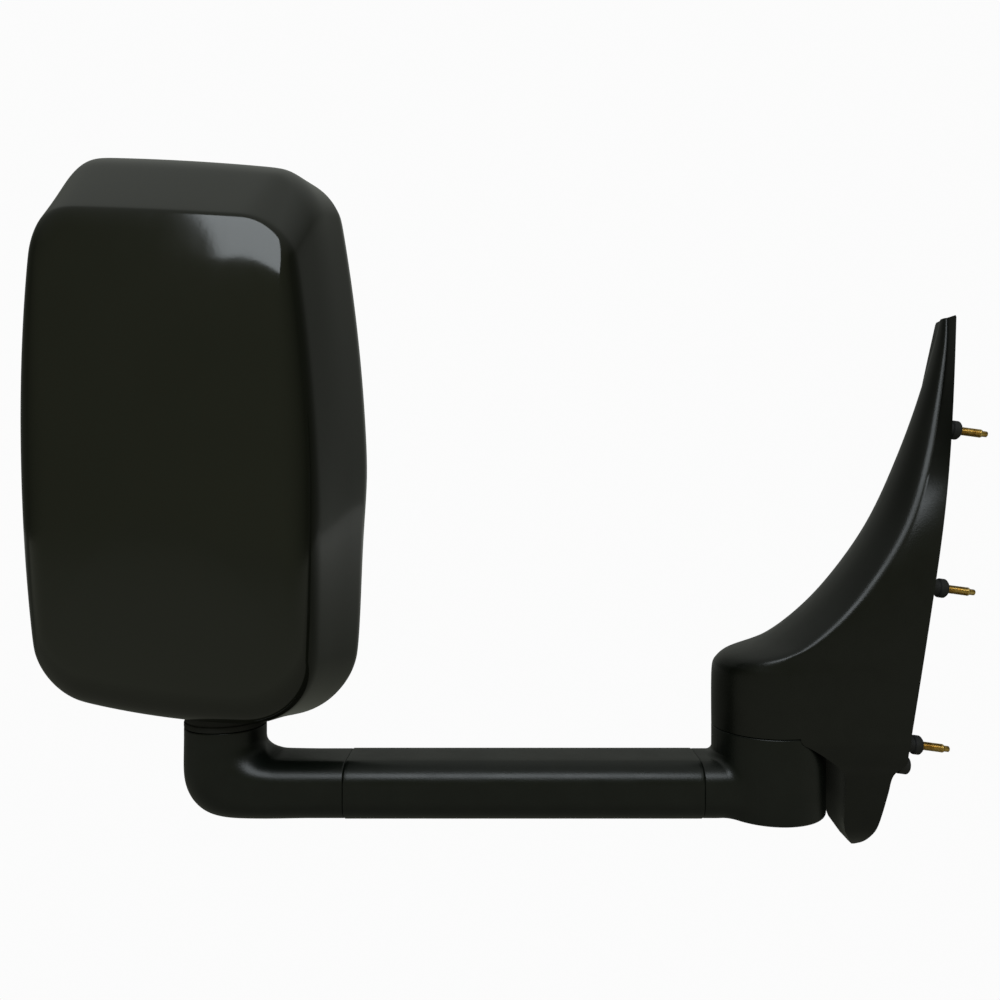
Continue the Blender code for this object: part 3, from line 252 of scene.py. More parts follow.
def out_of_door(y, up_face):
    """Axes of a piece that stands straight out of the door face: cos and sin of its lean."""
    face_up = np.array([math.sin(DOOR_LEAN), 0, math.cos(DOOR_LEAN)])
    out = np.array([math.cos(DOOR_LEAN), 0, -math.sin(DOOR_LEAN)])
    return face_up * up_face + np.array([0, y, 0]), (0, 1, 0), face_up, out


def carve(thing, *steps, sharp=38.0):
    """Cuts or joins helper solids, then puts the result back as a plain mesh and clears the helpers."""
    for operation, helper in steps:
        made = thing.modifiers.new(operation, "BOOLEAN")
        made.operation, made.object, made.solver = operation, helper, "EXACT"
    graph = bpy.context.evaluated_depsgraph_get()
    mesh = bpy.data.meshes.new_from_object(thing.evaluated_get(graph))
    name = thing.name
    for _, helper in steps:
        bpy.data.objects.remove(helper, do_unlink=True)
    bpy.data.objects.remove(thing, do_unlink=True)
    done = tidy_object(name, mesh, sharp)
    done.name = name
    return done


def placed(thing, body, slot, *nodes):
    """Rides a finished piece on its body, names its finish and stands it for its frame nodes."""
    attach(thing, body)
    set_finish(thing, slot)
    if nodes:
        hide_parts(*nodes)
    print(thing.name, "has", len(thing.data.polygons), "faces and rides on", body)
    return thing


# %% [markdown]
# ## The head's outline
# Seen from behind, the head is a tall four-cornered shape. Its sides bow out a little, and its corners
# are rounded to different sizes. The rear rim and the front panel each have such an outline, and the
# skin between them is lofted from one to the other.

# %% Outlines of the rim and the front panel
HEAD_WIDTH, HEAD_HEIGHT = 208.5, 410.5
HEAD_LEFT = NECK_X / MM - 0.595 * HEAD_WIDTH
HEAD_LOW = NECK_TOP / MM - 5.8
RIM_SHARES = np.array([(0.0, 1.0), (0.916, 0.974), (1.0, 0.0), (0.036, 0.044)])
FRONT_SHARES = np.array([(0.065, 0.850), (0.856, 0.832), (0.918, 0.044), (0.079, 0.097)])
RIM_BOWS, RIM_ROUNDS = np.array([3.0, 15.0, 5.0, 10.0]), np.array([36.0, 28, 50, 38])
FRONT_BOWS, FRONT_ROUNDS = np.array([1.0, 8.0, 8.0, 11.5]), np.array([30.0, 30, 40, 27])
INWARD = np.array([(1, -1), (-1, -1), (-1, 1), (1, 1)])
GLASS_SPLIT, RIM_STEP = 43.0, 4.5


def head_corners(shares, inset=0.0):
    """Four corners in millimetres: low corner + share * (width, height) + inset * inwards."""
    return np.array([HEAD_LEFT, HEAD_LOW]) + shares * (HEAD_WIDTH, HEAD_HEIGHT) + INWARD * inset


def bowed_outline(corners, bows, rounds, side_steps=10, corner_steps=8):
    """Closed outline through four corners, as whole arrays over the four sides.

    A side is start + t * along + 4 t (1-t) bow * outward. A corner is a cubic curve between the
    ends of two sides whose handles reach 0.56 of the way to the sharp corner.
    """
    after = np.roll(corners, -1, 0)
    along = after - corners
    length = np.linalg.norm(along, axis=1, keepdims=True)
    outward = np.stack([-along[:, 1], along[:, 0]], 1) / length

    def on_side(t):
        """Points at share t of each of the four sides."""
        t = t[..., None]
        return corners[:, None] + along[:, None] * t + (outward * bows[:, None])[:, None] * 4 * t * (1 - t)

    first = rounds / length[:, 0]
    last = 1 - np.roll(rounds, -1) / length[:, 0]
    sides = on_side(first[:, None] + (last - first)[:, None] * np.arange(side_steps) / side_steps)
    start, end = on_side(last[:, None]), np.roll(on_side(first[:, None]), -1, 0)
    corner = after[:, None]
    lean_in, lean_out = start + (corner - start) * 0.56, end + (corner - end) * 0.56
    t = (np.arange(corner_steps) / corner_steps)[None, :, None]
    s = 1 - t
    turns = start * s**3 + lean_in * 3 * s * s * t + lean_out * 3 * s * t * t + end * t**3
    return np.concatenate([sides, turns], 1).reshape(-1, 2)


def rim_outline(inset=0.0, **steps):
    """The rim's outline, whose inner side steps in beside the lower glass."""
    rounds = np.maximum(RIM_ROUNDS - inset * 0.5, 6)
    points = bowed_outline(head_corners(RIM_SHARES, inset), RIM_BOWS, rounds, **steps)
    fall = eased((GLASS_SPLIT + 10 - points[:, 1]) / 16)
    across = eased((points[:, 0] - NECK_X / MM - 9.5) / 40)
    inner = points[:, 0] > HEAD_LEFT + HEAD_WIDTH / 2
    points[:, 0] -= RIM_STEP * fall * across * inner
    return points


print("rim outline has", len(rim_outline()), "control points")

# %% [markdown]
# ## The head housing
# The housing is one blow-moulded shell in gloss black. Its sides taper forwards from the rim, break
# over a soft crease, and roll round into a slightly domed front panel. The top is a sloping facet.
# A cage of boxes and a subdivision could give this, but a B-spline over a worked-out control grid
# keeps each crease at a known place, and the wall inside follows the same grid.

# %% The skin of the housing
REAR_Y, FRONT_Y, CROWN, WALL = 52.0, -53.0, 5.0, 3.0
SIDE_SHARE, TOP_SHARE, TOP_CREASE_Y = 0.5, 0.13, -6.0


def spread(start, end, steps):
    """Evenly spaced rows from start to end, both rows of points, without the ends."""
    t = (np.arange(steps) + 1)[:, None, None] / (steps + 1)
    return start + (end - start) * t


def rolled(before, corner, after, size, steps, back_size=None):
    """Rows that round off a crease: a Bezier curve that starts and ends a set distance from it."""
    back, on = before - corner, after - corner
    back_length = np.linalg.norm(back, axis=1, keepdims=True)
    on_length = np.linalg.norm(on, axis=1, keepdims=True)
    back_size = size if back_size is None else back_size
    start = corner + back / back_length * np.minimum(back_size, back_length * 0.6)
    end = corner + on / on_length * np.minimum(size, on_length)
    return bezier(start, corner, end, steps)


def housing_controls():
    """Control rows of the housing from its rim, over the crease and the front edge, to the middle.

    The crease lies at share p between rim and front outline: half way on the sides, but close to
    the rim on top, so that the top becomes a facet. The panel's y is front - crown * (1 - s^2).
    """
    rim = rim_outline()
    front = bowed_outline(head_corners(FRONT_SHARES), FRONT_BOWS, FRONT_ROUNDS)
    centre = front.mean(0)
    along = np.roll(rim, -1, 0) - np.roll(rim, 1, 0)
    along /= np.linalg.norm(along, axis=1, keepdims=True)
    upward = np.maximum(along[:, 0], 0) ** np.where(along[:, 1] > 0, 2.0, 0.8)
    share = SIDE_SHARE + (TOP_SHARE - SIDE_SHARE) * upward
    crease_y = (REAR_Y + FRONT_Y) / 2 * (1 - upward) + TOP_CREASE_Y * upward

    def level(outline, y):
        """An outline of (x, z) stood at depth y."""
        return np.stack([outline[:, 0], np.broadcast_to(y, len(outline)), outline[:, 1]], 1)

    at_crease = rim + (front - rim) * share[:, None]
    crease, edge = level(at_crease, crease_y), level(front, FRONT_Y)
    rows = [level(rim, REAR_Y - WALL / 2 - d) for d in (0.0, 2.5, 5.0, 7.5)]
    over = rolled(rows[-1], crease, edge, 16.0, 7)
    roll = 24.0 + 8.0 * upward
    behind = (20.0 - 16.0 * upward)[:, None]
    reach = np.linalg.norm(centre - front, axis=1)
    s = (1 - roll / reach)[None] * np.linspace(1.0, 0.0, 12)[:, None]
    panel = [level(centre + (front - centre) * k[:, None], FRONT_Y - CROWN * (1 - k * k)) for k in s]
    round_edge = rolled(crease, edge, panel[0], roll[:, None], 12, behind)
    made = [np.stack(rows), spread(rows[-1], over[0], 4), over, spread(over[-1], round_edge[0], 4)]
    return np.concatenate(made + [round_edge, np.stack(panel[1:])]) * MM


controls = housing_controls()
print("housing control grid:", controls.shape[:2])

# %% The housing as a closed shell
outer = smooth_grid(controls, 3, 4)
outward = grid_normals(outer)
outward *= np.sign((outward[0] * (outer[0] - outer[0].mean(0))).sum())
outward[-1] = (0, -1, 0)
inner = outer - outward * WALL * MM
half_turn = np.linspace(0, math.pi, 9)[1:-1, None, None]
lip_way = np.cos(half_turn) * outward[0] + np.sin(half_turn) * np.array([0, 1.0, 0])
lip = (outer[0] + inner[0]) / 2 + (WALL / 2 * MM) * lip_way
shell = surface("head_housing", np.concatenate([outer[::-1], lip, inner]))
housing = carve(shell, ("DIFFERENCE", cylinder("neck_cut", NECK_X, 28.6, -70, -125)), sharp=42)
placed(housing, "head", "head_gloss", "head_shell")

# %% [markdown]
# ## Screw posts inside the housing
# Four round posts stand on the inside of the front panel and take the bracket's screws. On the real
# shell they are moulded with it, so they carry its finish. Each is turned about an axis that runs
# front to back.

# %% Screw posts
POST_OUTLINE = [(0, -56), (7, -56), (5.6, -40), (5.4, -2.4), (2.3, -2.4), (2.3, -16), (0, -16)]
for number in (1, 2, 3, 4):
    place = middle(f"bracket_screw_{number}")
    post_axes = ((place.x, 0, place.z), (1, 0, 0), (0, 0, 1), (0, 1, 0))
    post_grid = turned_grid(soft_profile(POST_OUTLINE, 0.6) * MM, post_axes, 40)
    post = surface(f"screw_post_{number}", post_grid)
    placed(post, "head", "head_gloss", "head_shell")

# %% [markdown]
# ## The bezel round the two glasses
# A matt frame is clipped inside the rim, and a bar divides the tall flat glass from the wide-view
# glass below it. The frame is a rounded profile carried round the rim's own outline. The bar is a
# second surface, a squared ring |cos|^q, |sin|^q whose height flares by a quarter circle at each end.


# %% The bezel's frame
def carried_round(profile, **steps):
    """A closed profile of (inset, y) carried round the head: each inset gives its own outline."""
    rows = [rim_outline(inset, **steps) for inset, _ in profile]
    depth = np.array([y for _, y in profile])
    grid = np.stack(rows)
    return np.stack([grid[..., 0], np.broadcast_to(depth[:, None], grid.shape[:2]), grid[..., 1]], -1) * MM


BEZEL_LOOP = [(3.6, 44.8), (3.6, 50.0), (4.4, 50.8), (7.5, 50.8), (9.2, 50.5), (10.8, 49.6), (11.7, 48.2),
              (12.0, 46.6), (12.0, 42.4), (11.4, 41.8), (10.0, 41.8), (9.4, 42.4), (9.4, 44.2), (8.8, 44.8)]
frame_grid = carried_round(BEZEL_LOOP, side_steps=30, corner_steps=16)
bezel_frame = surface("bezel_frame", frame_grid, wrap_rows=True, sharp=50)
placed(bezel_frame, "head", "black_plastic", "head_bezel")


# %% The bar between the glasses
def rim_side(z, side, inset):
    """x of the head's inner or outer side at a height, read off the rim's outline."""
    outline = rim_outline(inset, side_steps=60, corner_steps=30)
    half = outline[outline[:, 0] * side > (HEAD_LEFT + HEAD_WIDTH / 2) * side]
    half = half[np.argsort(half[:, 1])]
    return float(np.interp(z, half[:, 1], half[:, 0]))


BAR_INSET, BAR_HALF, BAR_FILLET, SQUARED = 9.6, 6.5, 11.0, 0.42
bar_left, bar_right = (rim_side(GLASS_SPLIT, side, BAR_INSET) for side in (-1, 1))
even = np.linspace(0, 1, 121) * 2 - 1
across = even**3 * 0.35 + even * 0.65
bar_x = (bar_left + bar_right) / 2 + across * (bar_right - bar_left) / 2
from_end = np.minimum(bar_x - bar_left, bar_right - bar_x) - 2.4
short_of = 1 - np.clip(from_end / BAR_FILLET, 0, 1)
bar_half = BAR_HALF + BAR_FILLET * (1 - np.sqrt(1 - short_of**2)) * 0.9
turn = np.arange(40) * math.tau / 40
section_z = np.sign(np.cos(turn)) * np.abs(np.cos(turn)) ** SQUARED
section_y = np.sign(np.sin(turn)) * np.abs(np.sin(turn)) ** SQUARED
bar_grid = np.stack(np.broadcast_arrays(bar_x[:, None], 46.3 + 4.4 * section_y[None], 0.0), -1)
bar_grid[..., 2] = GLASS_SPLIT + bar_half[:, None] * section_z
bar = surface("bezel_bar", bar_grid * MM, ends="closed", sharp=60)
placed(bar, "head", "black_plastic", "head_bezel")

# %% [markdown]
# ## The two glasses
# The upper glass is flat. The lower one is convex, for a wide view. Each has a ground edge. Both are
# the outline of their opening shrunk towards its middle, with the depth as a function of the share.


# %% Outlines of the glasses
def window(upper, inset):
    """Closed outline of one glass opening, inside the rim, above or below the dividing bar."""
    (tlx, tlz), (trx, trz), (brx, brz), (blx, blz) = head_corners(RIM_SHARES)
    low_rim, high_rim = (brz + blz) / 2, (tlz + trz) / 2

    def side(z, start, end, bow, sign, step):
        """x of a bowed side at height z, moved in by the inset."""
        t = (z - low_rim) / (high_rim - low_rim)
        return start + (end - start) * t - sign * (bow * 4 * t * (1 - t) - inset) - step

    gap = BAR_HALF + inset - BEZEL_LOOP[7][0]
    edge = GLASS_SPLIT + gap if upper else GLASS_SPLIT - gap
    at_left = side(edge, blx, tlx, RIM_BOWS[3], 1, 0)
    at_right = side(edge, brx, trx, RIM_BOWS[1], -1, 0 if edge > GLASS_SPLIT else RIM_STEP)
    shrink = inset * 0.8
    if upper:
        corners = [(tlx + inset, tlz - inset), (trx - inset, trz - inset), (at_right, edge), (at_left, edge)]
        part = (high_rim - edge) / (high_rim - low_rim)
        bows = (RIM_BOWS[0], RIM_BOWS[1] * part**2, 0, RIM_BOWS[3] * part**2)
        rounds = (RIM_ROUNDS[0] - shrink, RIM_ROUNDS[1] - shrink, 12, 12)
    else:
        corners = [(at_left, edge), (at_right, edge)]
        corners += [(brx - inset - RIM_STEP, brz + inset), (blx + inset, blz + inset)]
        part = (edge - low_rim) / (high_rim - low_rim)
        bows = (0, RIM_BOWS[1] * part**2, RIM_BOWS[2], RIM_BOWS[3] * part**2)
        rounds = (12, 12, RIM_ROUNDS[2] - shrink, RIM_ROUNDS[3] - shrink)
    return bowed_outline(np.array(corners), np.array(bows, float), np.array(rounds, float), 24, 14)


# %% Both glasses with ground edges
GLASS_FACE = 40.0
for word, bulge in (("upper", 0.0), ("lower", 3.5)):
    outline = window(word == "upper", 17.0)
    low, high = outline.min(0), outline.max(0)
    centre = (low + high) / 2
    share = np.concatenate([np.linspace(0, 0.985, 24), [0.993, 1.0, 1.0, 0.994], np.linspace(0.97, 0, 12)])
    place = centre + (outline - centre)[None] * share[:, None, None]
    off_centre = (place - centre) / (high - low) * 2
    rise = bulge * (1 - (off_centre**2).sum(2) / 2)
    layer = np.concatenate([np.zeros(24), [-0.25, -0.9, -2.6, -3.0], np.full(12, -3.0)])[:, None]
    depth = GLASS_FACE + layer + rise
    glass_grid = np.stack([place[..., 0], depth, place[..., 1]], -1) * MM
    glass = surface(f"{word}_mirror_glass", glass_grid, sharp=30)
    placed(glass, f"{word}_mirror", "mirror_glass", f"{word}_glass")

# %% [markdown]
# ## The arm: elbow, tube and boss
# The elbow starts round under the head and becomes the tube's rounded rectangle while it turns
# through a quarter. Its rings stand on rays from the inside of the bend. The tube slides over a
# spigot at each end. The boss is turned, with a stub that flares into it like a casting's fillet.

# %% The tube's section
TUBE_DEPTH, TUBE_HEIGHT, TUBE_ROUND, TUBE_TOP = 55.0, 39.2, 14.0, -119.6
TUBE_Z = TUBE_TOP - TUBE_HEIGHT / 2
NECK_RADIUS, BOSS_RADIUS, STUB = 27.7, 38.3, 11.5
ELBOW_SEAM = NECK_X / MM + 86.5
BOSS_SEAM = PIVOT_X / MM - BOSS_RADIUS - STUB


def rounded_section(width, height, radius, corner_steps=12, side_steps=4):
    """Rounded rectangle as (u, v): four quarter circles joined by sides that are split evenly."""
    radius = min(radius, width / 2, height / 2)
    quarter = np.linspace(0, math.pi / 2, corner_steps)
    loops = []
    for corner, (su, sv) in enumerate(((1, 1), (-1, 1), (-1, -1), (1, -1))):
        angle = quarter + corner * math.pi / 2
        centre = np.array([su * (width / 2 - radius), sv * (height / 2 - radius)])
        loops.append(centre + radius * np.stack([np.cos(angle), np.sin(angle)], 1))
    rows = []
    for arc, following in zip(loops, loops[1:] + loops[:1]):
        t = (np.arange(side_steps) + 1)[:, None] / (side_steps + 1)
        rows += [arc, arc[-1] + (following[0] - arc[-1]) * t]
    return np.vstack(rows)


def tube_ring(x, shrink=0.0, depth_more=0.0, height_more=0.0):
    """The tube's section at one x, shrunk all round or grown in depth and height."""
    width = TUBE_DEPTH - 2 * shrink + depth_more
    height = TUBE_HEIGHT - 2 * shrink + height_more
    section = rounded_section(width, height, TUBE_ROUND - shrink)
    return np.stack([np.full(len(section), x), section[:, 0], TUBE_Z + section[:, 1]], 1)


# %% The arm tube
start_x, end_x = ELBOW_SEAM, BOSS_SEAM - 0.3
stations = [(start_x, 0.45), (start_x + 0.3, 0.12), (start_x + 0.8, 0.0)]
stations += [(x, 0.0) for x in np.linspace(start_x + 3, end_x - 3, 60)]
stations += [(end_x - 0.8, 0.0), (end_x - 0.3, 0.12), (end_x, 0.45), (end_x, 3.3), (start_x, 3.3)]
tube_grid = np.stack([tube_ring(x, shrink) for x, shrink in stations]) * MM
tube = surface("tube_of_arm", tube_grid, wrap_rows=True, sharp=45)
placed(tube, "arm", "arm_coat", "arm_tube")

# %% The elbow
INNER_ROUND, OUTER_ROUND = 12.0, 31.0


def elbow_rings(steps=9):
    """Rings on rays that sweep a quarter turn about the inside of the bend.

    A ray leaves the hub at angle a, and reaches the outer side: a wall, a floor, and a round
    corner between them. The section between the two reaches changes from a circle to the tube's.
    """
    hub = np.array([NECK_X / MM + NECK_RADIUS + INNER_ROUND, TUBE_TOP + INNER_ROUND])
    wall_x, floor_z = NECK_X / MM - NECK_RADIUS, TUBE_TOP - TUBE_HEIGHT
    round_at = np.array([wall_x + OUTER_ROUND, floor_z + OUTER_ROUND])
    rings = []
    for t in np.linspace(0, 1, steps):
        angle = math.pi / 2 * t
        ray = np.array([-math.cos(angle), -math.sin(angle)])
        reach = min((wall_x - hub[0]) / min(ray[0], -1e-6), (floor_z - hub[1]) / min(ray[1], -1e-6))
        tip = hub + ray * reach
        if (tip < round_at).all():
            offset = hub - round_at
            toward = ray @ offset
            reach = -toward + math.sqrt(toward**2 - offset @ offset + OUTER_ROUND**2)
        blend = float(eased(t * 1.15))
        width = 2 * NECK_RADIUS + (TUBE_DEPTH - 2 * NECK_RADIUS) * blend
        corner = NECK_RADIUS + (TUBE_ROUND - NECK_RADIUS) * blend
        section = rounded_section(width, reach - INNER_ROUND, corner)
        middle_reach = (INNER_ROUND + reach) / 2
        along = middle_reach - section[:, 1]
        rings.append(np.stack([hub[0] + along * ray[0], section[:, 0], hub[1] + along * ray[1]], 1))
    return rings


def neck_section(z, shrink=0.0):
    """A level circle of the neck, with its points in the same order as the elbow's rings."""
    section = rounded_section(2 * (NECK_RADIUS - shrink), 2 * (NECK_RADIUS - shrink), NECK_RADIUS)
    return np.stack([NECK_X / MM + section[:, 1], section[:, 0], np.full(len(section), z)], 1)


neck_top = NECK_TOP / MM
hub_z = TUBE_TOP + INNER_ROUND
seam = ELBOW_SEAM - 0.3
body = [neck_section(z) for z in (neck_top - 0.8, neck_top - 3, hub_z + 1.5)] + elbow_rings()
body += [tube_ring(x, 0.35) for x in (seam - 28, seam - 20, seam - 10, seam - 3, seam - 0.8)]
bend = smooth_grid(np.stack(body), 5, 1)
crown = [neck_section(neck_top, shrink) for shrink in (NECK_RADIUS - 11.2, 3.0, 0.8)]
crown = np.stack(crown + [neck_section(neck_top - 0.25, 0.2)])
spigot = np.stack([tube_ring(seam - 0.3, 0.45), tube_ring(seam, 0.8), tube_ring(seam, 3.8),
                   tube_ring(seam + 28.5, 3.8), tube_ring(seam + 30, 4.6)])
post_rings = np.stack([neck_section(z, NECK_RADIUS - r) for z, r in
                       ((-46.0, 0.001), (-46.0, 10.0), (-47.0, 11.0), (neck_top, 11.0))])
elbow_grid = np.concatenate([post_rings, crown, bend, spigot]) * MM
elbow = surface("elbow_casting", elbow_grid, ends="closed", sharp=40)
placed(elbow, "arm", "arm_coat", "elbow")

# %% The boss with its flared stub
BOSS_TOP, BOSS_HEIGHT = -99.3, 57.7
boss_low = BOSS_TOP - BOSS_HEIGHT
outside = [(28.5, BOSS_TOP), (BOSS_RADIUS, BOSS_TOP), (BOSS_RADIUS, boss_low), (33.0, boss_low)]
inside = [(33.0, BOSS_TOP - 10.5), (8.6, BOSS_TOP - 10.5), (8.6, BOSS_TOP - 3.0), (28.5, BOSS_TOP - 3.0)]
ring_profile = soft_profile(outside + inside + outside[:2], [0, 1.0, 2.2, 0.8, 1.5, 0.5, 0.5, 0.5, 0.5, 0], 6)
boss_grid = turned_grid(ring_profile[1:-1] * MM, upright(PIVOT_X), 160)


def stub_fillet(size_side, size_top, steps=16):
    """Rings that turn from the tube's section into the boss's wall along a quarter circle.

    At angle a, a point has moved outwards by size * (1 - cos a) and stands size * (1 - sin a)
    short of the wall, whose x is axis - sqrt(R^2 - y^2) at the point's own y.
    """
    base = tube_ring(BOSS_SEAM, 0.3)
    along = np.roll(base, -1, 0) - np.roll(base, 1, 0)
    outward = np.stack([along[:, 2], -along[:, 1]], 1)
    outward /= np.linalg.norm(outward, axis=1, keepdims=True)
    outward *= np.sign((outward * (base[:, 1:] - (0, TUBE_Z))).sum(1))[:, None]
    size = size_side + (size_top - size_side) * np.maximum(outward[:, 1], 0)
    angle = np.linspace(0, math.pi / 2, steps)[:, None]
    moved = size * (1 - np.cos(angle))
    y = base[:, 1] + outward[:, 0] * moved
    lift = np.where(outward[:, 1] > 0, outward[:, 1], 0)
    z = base[:, 2] + lift * moved
    low = boss_low + 0.5
    z = np.where(z < low + 6, z + np.maximum(low - z, 0) * eased(angle / 1.2), z)
    x = PIVOT_X / MM - np.sqrt(np.maximum(BOSS_RADIUS**2 - y**2, 25)) - size * (1 - np.sin(angle))
    rows = np.stack([x, y, z], 2)
    into = rows[-1] + (4.0, 0, 0)
    return np.concatenate([rows, into[None]])


stub_rows = [tube_ring(BOSS_SEAM - 30, 4.6), tube_ring(BOSS_SEAM - 28.5, 3.8), tube_ring(BOSS_SEAM, 3.8)]
stub_rows += [tube_ring(BOSS_SEAM, 0.8), tube_ring(BOSS_SEAM + 0.35, 0.45), tube_ring(BOSS_SEAM + 0.9, 0.3)]
stub_rows += list(stub_fillet(7.0, 5.0))
stub = surface("stub", np.stack(stub_rows) * MM, ends="closed")
stub = carve(stub, ("DIFFERENCE", cylinder("room", PIVOT_X, 35.0, -90, -170)))
boss = surface("boss_casting", boss_grid, wrap_rows=True)
boss = carve(boss, ("UNION", stub), sharp=40)
placed(boss, "arm", "arm_coat", "arm_boss")

# %% The cap under the boss
cap_low = boss_low + 0.6
cap_profile = [
    (0, cap_low + 3.4), (29.7, cap_low + 3.4), (29.7, cap_low + 6.4), (32.7, cap_low + 6.4), (32.7, cap_low),
    (27, cap_low), (25.5, cap_low + 0.9), (8, cap_low + 0.9), (6.5, cap_low + 1.8), (0, cap_low + 1.8)]
cap = surface("boss_plug", turned_grid(soft_profile(cap_profile, 0.7) * MM, upright(PIVOT_X), 96))
placed(cap, "arm", "black_plastic", "boss_cap")

# %% [markdown]
# ## The ring under the head
# A black ring sits between the elbow and the head, with a shadow groove at its middle. It is one
# profile turned about the swivel axis.

# %% The neck ring
low_z = NECK_TOP / MM + 0.3
top_z = low_z + 10.2
ring_points = [
    (11.3, low_z), (27.3, low_z), (27.7, low_z + 0.6), (27.7, low_z + 3.6), (26.9, low_z + 4.2),
    (26.9, low_z + 5.0), (27.5, low_z + 5.6), (27.5, top_z - 0.8), (26.6, top_z), (11.3, top_z), (11.3, low_z)]
ring_grid = turned_grid(soft_profile(ring_points, 0.4) * MM, upright(NECK_X), 128)
neck_ring = surface("neck_bearing_ring", ring_grid)
placed(neck_ring, "arm", "black_rubber", "neck_ring")

# %% [markdown]
# ## The sail-shaped base
# The base is a hollow moulding that sweeps up the door from the folding joint. Level sections tell
# its form: each is a rounded outer end, two straight flanks and the open door side. A table of
# stations gives the end's place, the width and the squareness at each height, and smooth curves
# run through them. The pocket round the boss and the hollow behind are cut with solids of their own.

# %% Stations of the sail
BOSS = BOSS_RADIUS
PX = PIVOT_X / MM
# A row is: outer end's x, height, half width, depth of the rounded end, its squareness.
RAMP = np.array([
    (PX - BOSS, -98.0, BOSS, BOSS, 2.0), (PX - BOSS, -62.0, BOSS, BOSS, 2.0),
    (PX - BOSS + 2.6, -53.5, BOSS - 0.6, BOSS - 2.6, 2.0), (PX - 27.0, -47.6, 37.2, 28.0, 2.1),
    (PX - 9.0, -42.4, 36.6, 21.0, 2.1), (-92.0, -34.0, 35.9, 18.0, 2.15), (-62.0, -8.0, 33.8, 17.0, 2.2),
    (-29.0, 36.5, 30.0, 14.5, 2.15), (-9.5, 80.0, 22.8, 11.5, 2.15), (5.5, 122.7, 14.5, 7.4, 2.2),
    (17.5, 165.0, 8.0, 3.4, 2.4), (21.3, 185.0, 4.0, 1.8, 2.4)])
# A row is: height, half width, half width at the door, distance short of the door.
TONGUE = np.array([
    (-103.5, BOSS, 28.6, 0), (-112, BOSS - 2.3, 27.5, 0), (-119, 33, 26.5, 0), (-127, 28.5, 24, 6.5),
    (-140, 24, 21, 7), (-155, 20.5, 18.5, 8), (-166, 17, 15.5, 9), (-173, 12.5, 11.5, 11),
    (-178, 7.5, 7, 13.5), (-181, 3, 3, 17)])
FACE = np.array([
    (-119, 27), (-60, 30.6), (0, 33), (40, 34), (80, 31.6), (123, 25.6), (165, 18), (185, 14)], float)
SAIL_WALL = 3.0


def through(table, steps):
    """Catmull-Rom rows through the stations: each span is a cubic set by the stations around it."""
    rows = np.vstack([2 * table[0] - table[1], table, 2 * table[-1] - table[-2]])
    a, b, c, d = rows[:-3, None], rows[1:-2, None], rows[2:-1, None], rows[3:, None]
    t = (np.arange(steps) / steps)[None, :, None]
    made = 0.5 * (2 * b + (c - a) * t + (2 * a - 5 * b + 4 * c - d) * t**2 + (3 * b - a - 3 * c + d) * t**3)
    return np.vstack([made.reshape(-1, table.shape[1]), table[-1:]])


def sail_section(x_left, z, half, depth, square, at_door, x_door, reach=0.0):
    """A level section: |cos|^(2/q), |sin|^(2/q) round the outer end, then flanks, then the door side."""
    splay = (at_door - half) / (x_door - x_left - depth)
    at_door, x_right = at_door + splay * reach, x_door + reach
    angle = np.linspace(-math.pi / 2, math.pi / 2, 61)
    end_x = x_left + depth * (1 - np.abs(np.cos(angle)) ** (2 / square))
    end_y = -half * np.sign(np.sin(angle)) * np.abs(np.sin(angle)) ** (2 / square)
    t = (np.arange(16) + 1) / 16
    lower = np.stack([end_x[-1] + (x_right - end_x[-1]) * t, end_y[-1] + (-at_door - end_y[-1]) * t], 1)
    upper = lower[::-1] * (1, -1)
    side = np.linspace(-1, 1, 10)[1:-1, None] * (0, at_door) + (x_right, 0)
    ring = np.vstack([np.stack([end_x, end_y], 1), lower, side, upper])
    return np.column_stack([ring, np.full(len(ring), z)])


def sail_rings(inset=0.0, low=-181.0, high=185.0, reach=0.0, fine=6):
    """All level sections from the tongue's tip to the sail's tip."""
    face = np.einsum("ij,jk->ik", spline_weights(len(FACE), 12, False), FACE)
    tan = math.tan(DOOR_LEAN)
    rings = []
    tongue = through(TONGUE, fine)[::-1]
    for z, half, at_door, off in tongue:
        if low <= z < BOSS_TOP + 0.4:
            room = BOSS - inset
            sizes = (half - inset, room, 2.0, at_door - inset, z * tan - off)
            rings.append(sail_section(PX - BOSS + inset, z, *sizes, reach))
    ramp = np.einsum("ij,jk->ik", spline_weights(2 * len(RAMP) - 1, fine, False), through(RAMP, 2))
    for x, z, half, depth, square in ramp:
        if low <= z <= high + 0.01:
            at_door = float(np.interp(z, face[:, 0], face[:, 1])) - inset
            sizes = (half - inset, max(depth - inset, 1.0), square, at_door, z * tan)
            rings.append(sail_section(x + inset * 1.25, z, *sizes, reach))
    return np.stack(rings)


sail_grid = sail_rings()
print("sail sections:", sail_grid.shape[:2])

# %% The sail's rounded tip
tip_centre = sail_grid[-1].mean(0)
from_centre = sail_grid[-1] - tip_centre
tip = [tip_centre + from_centre * share for share in (0.9, 0.45)]
sail_grid[-1] = tip_centre + from_centre * (0.93, 0.93, 1)
sail_grid = np.concatenate([sail_grid, np.stack(tip)])


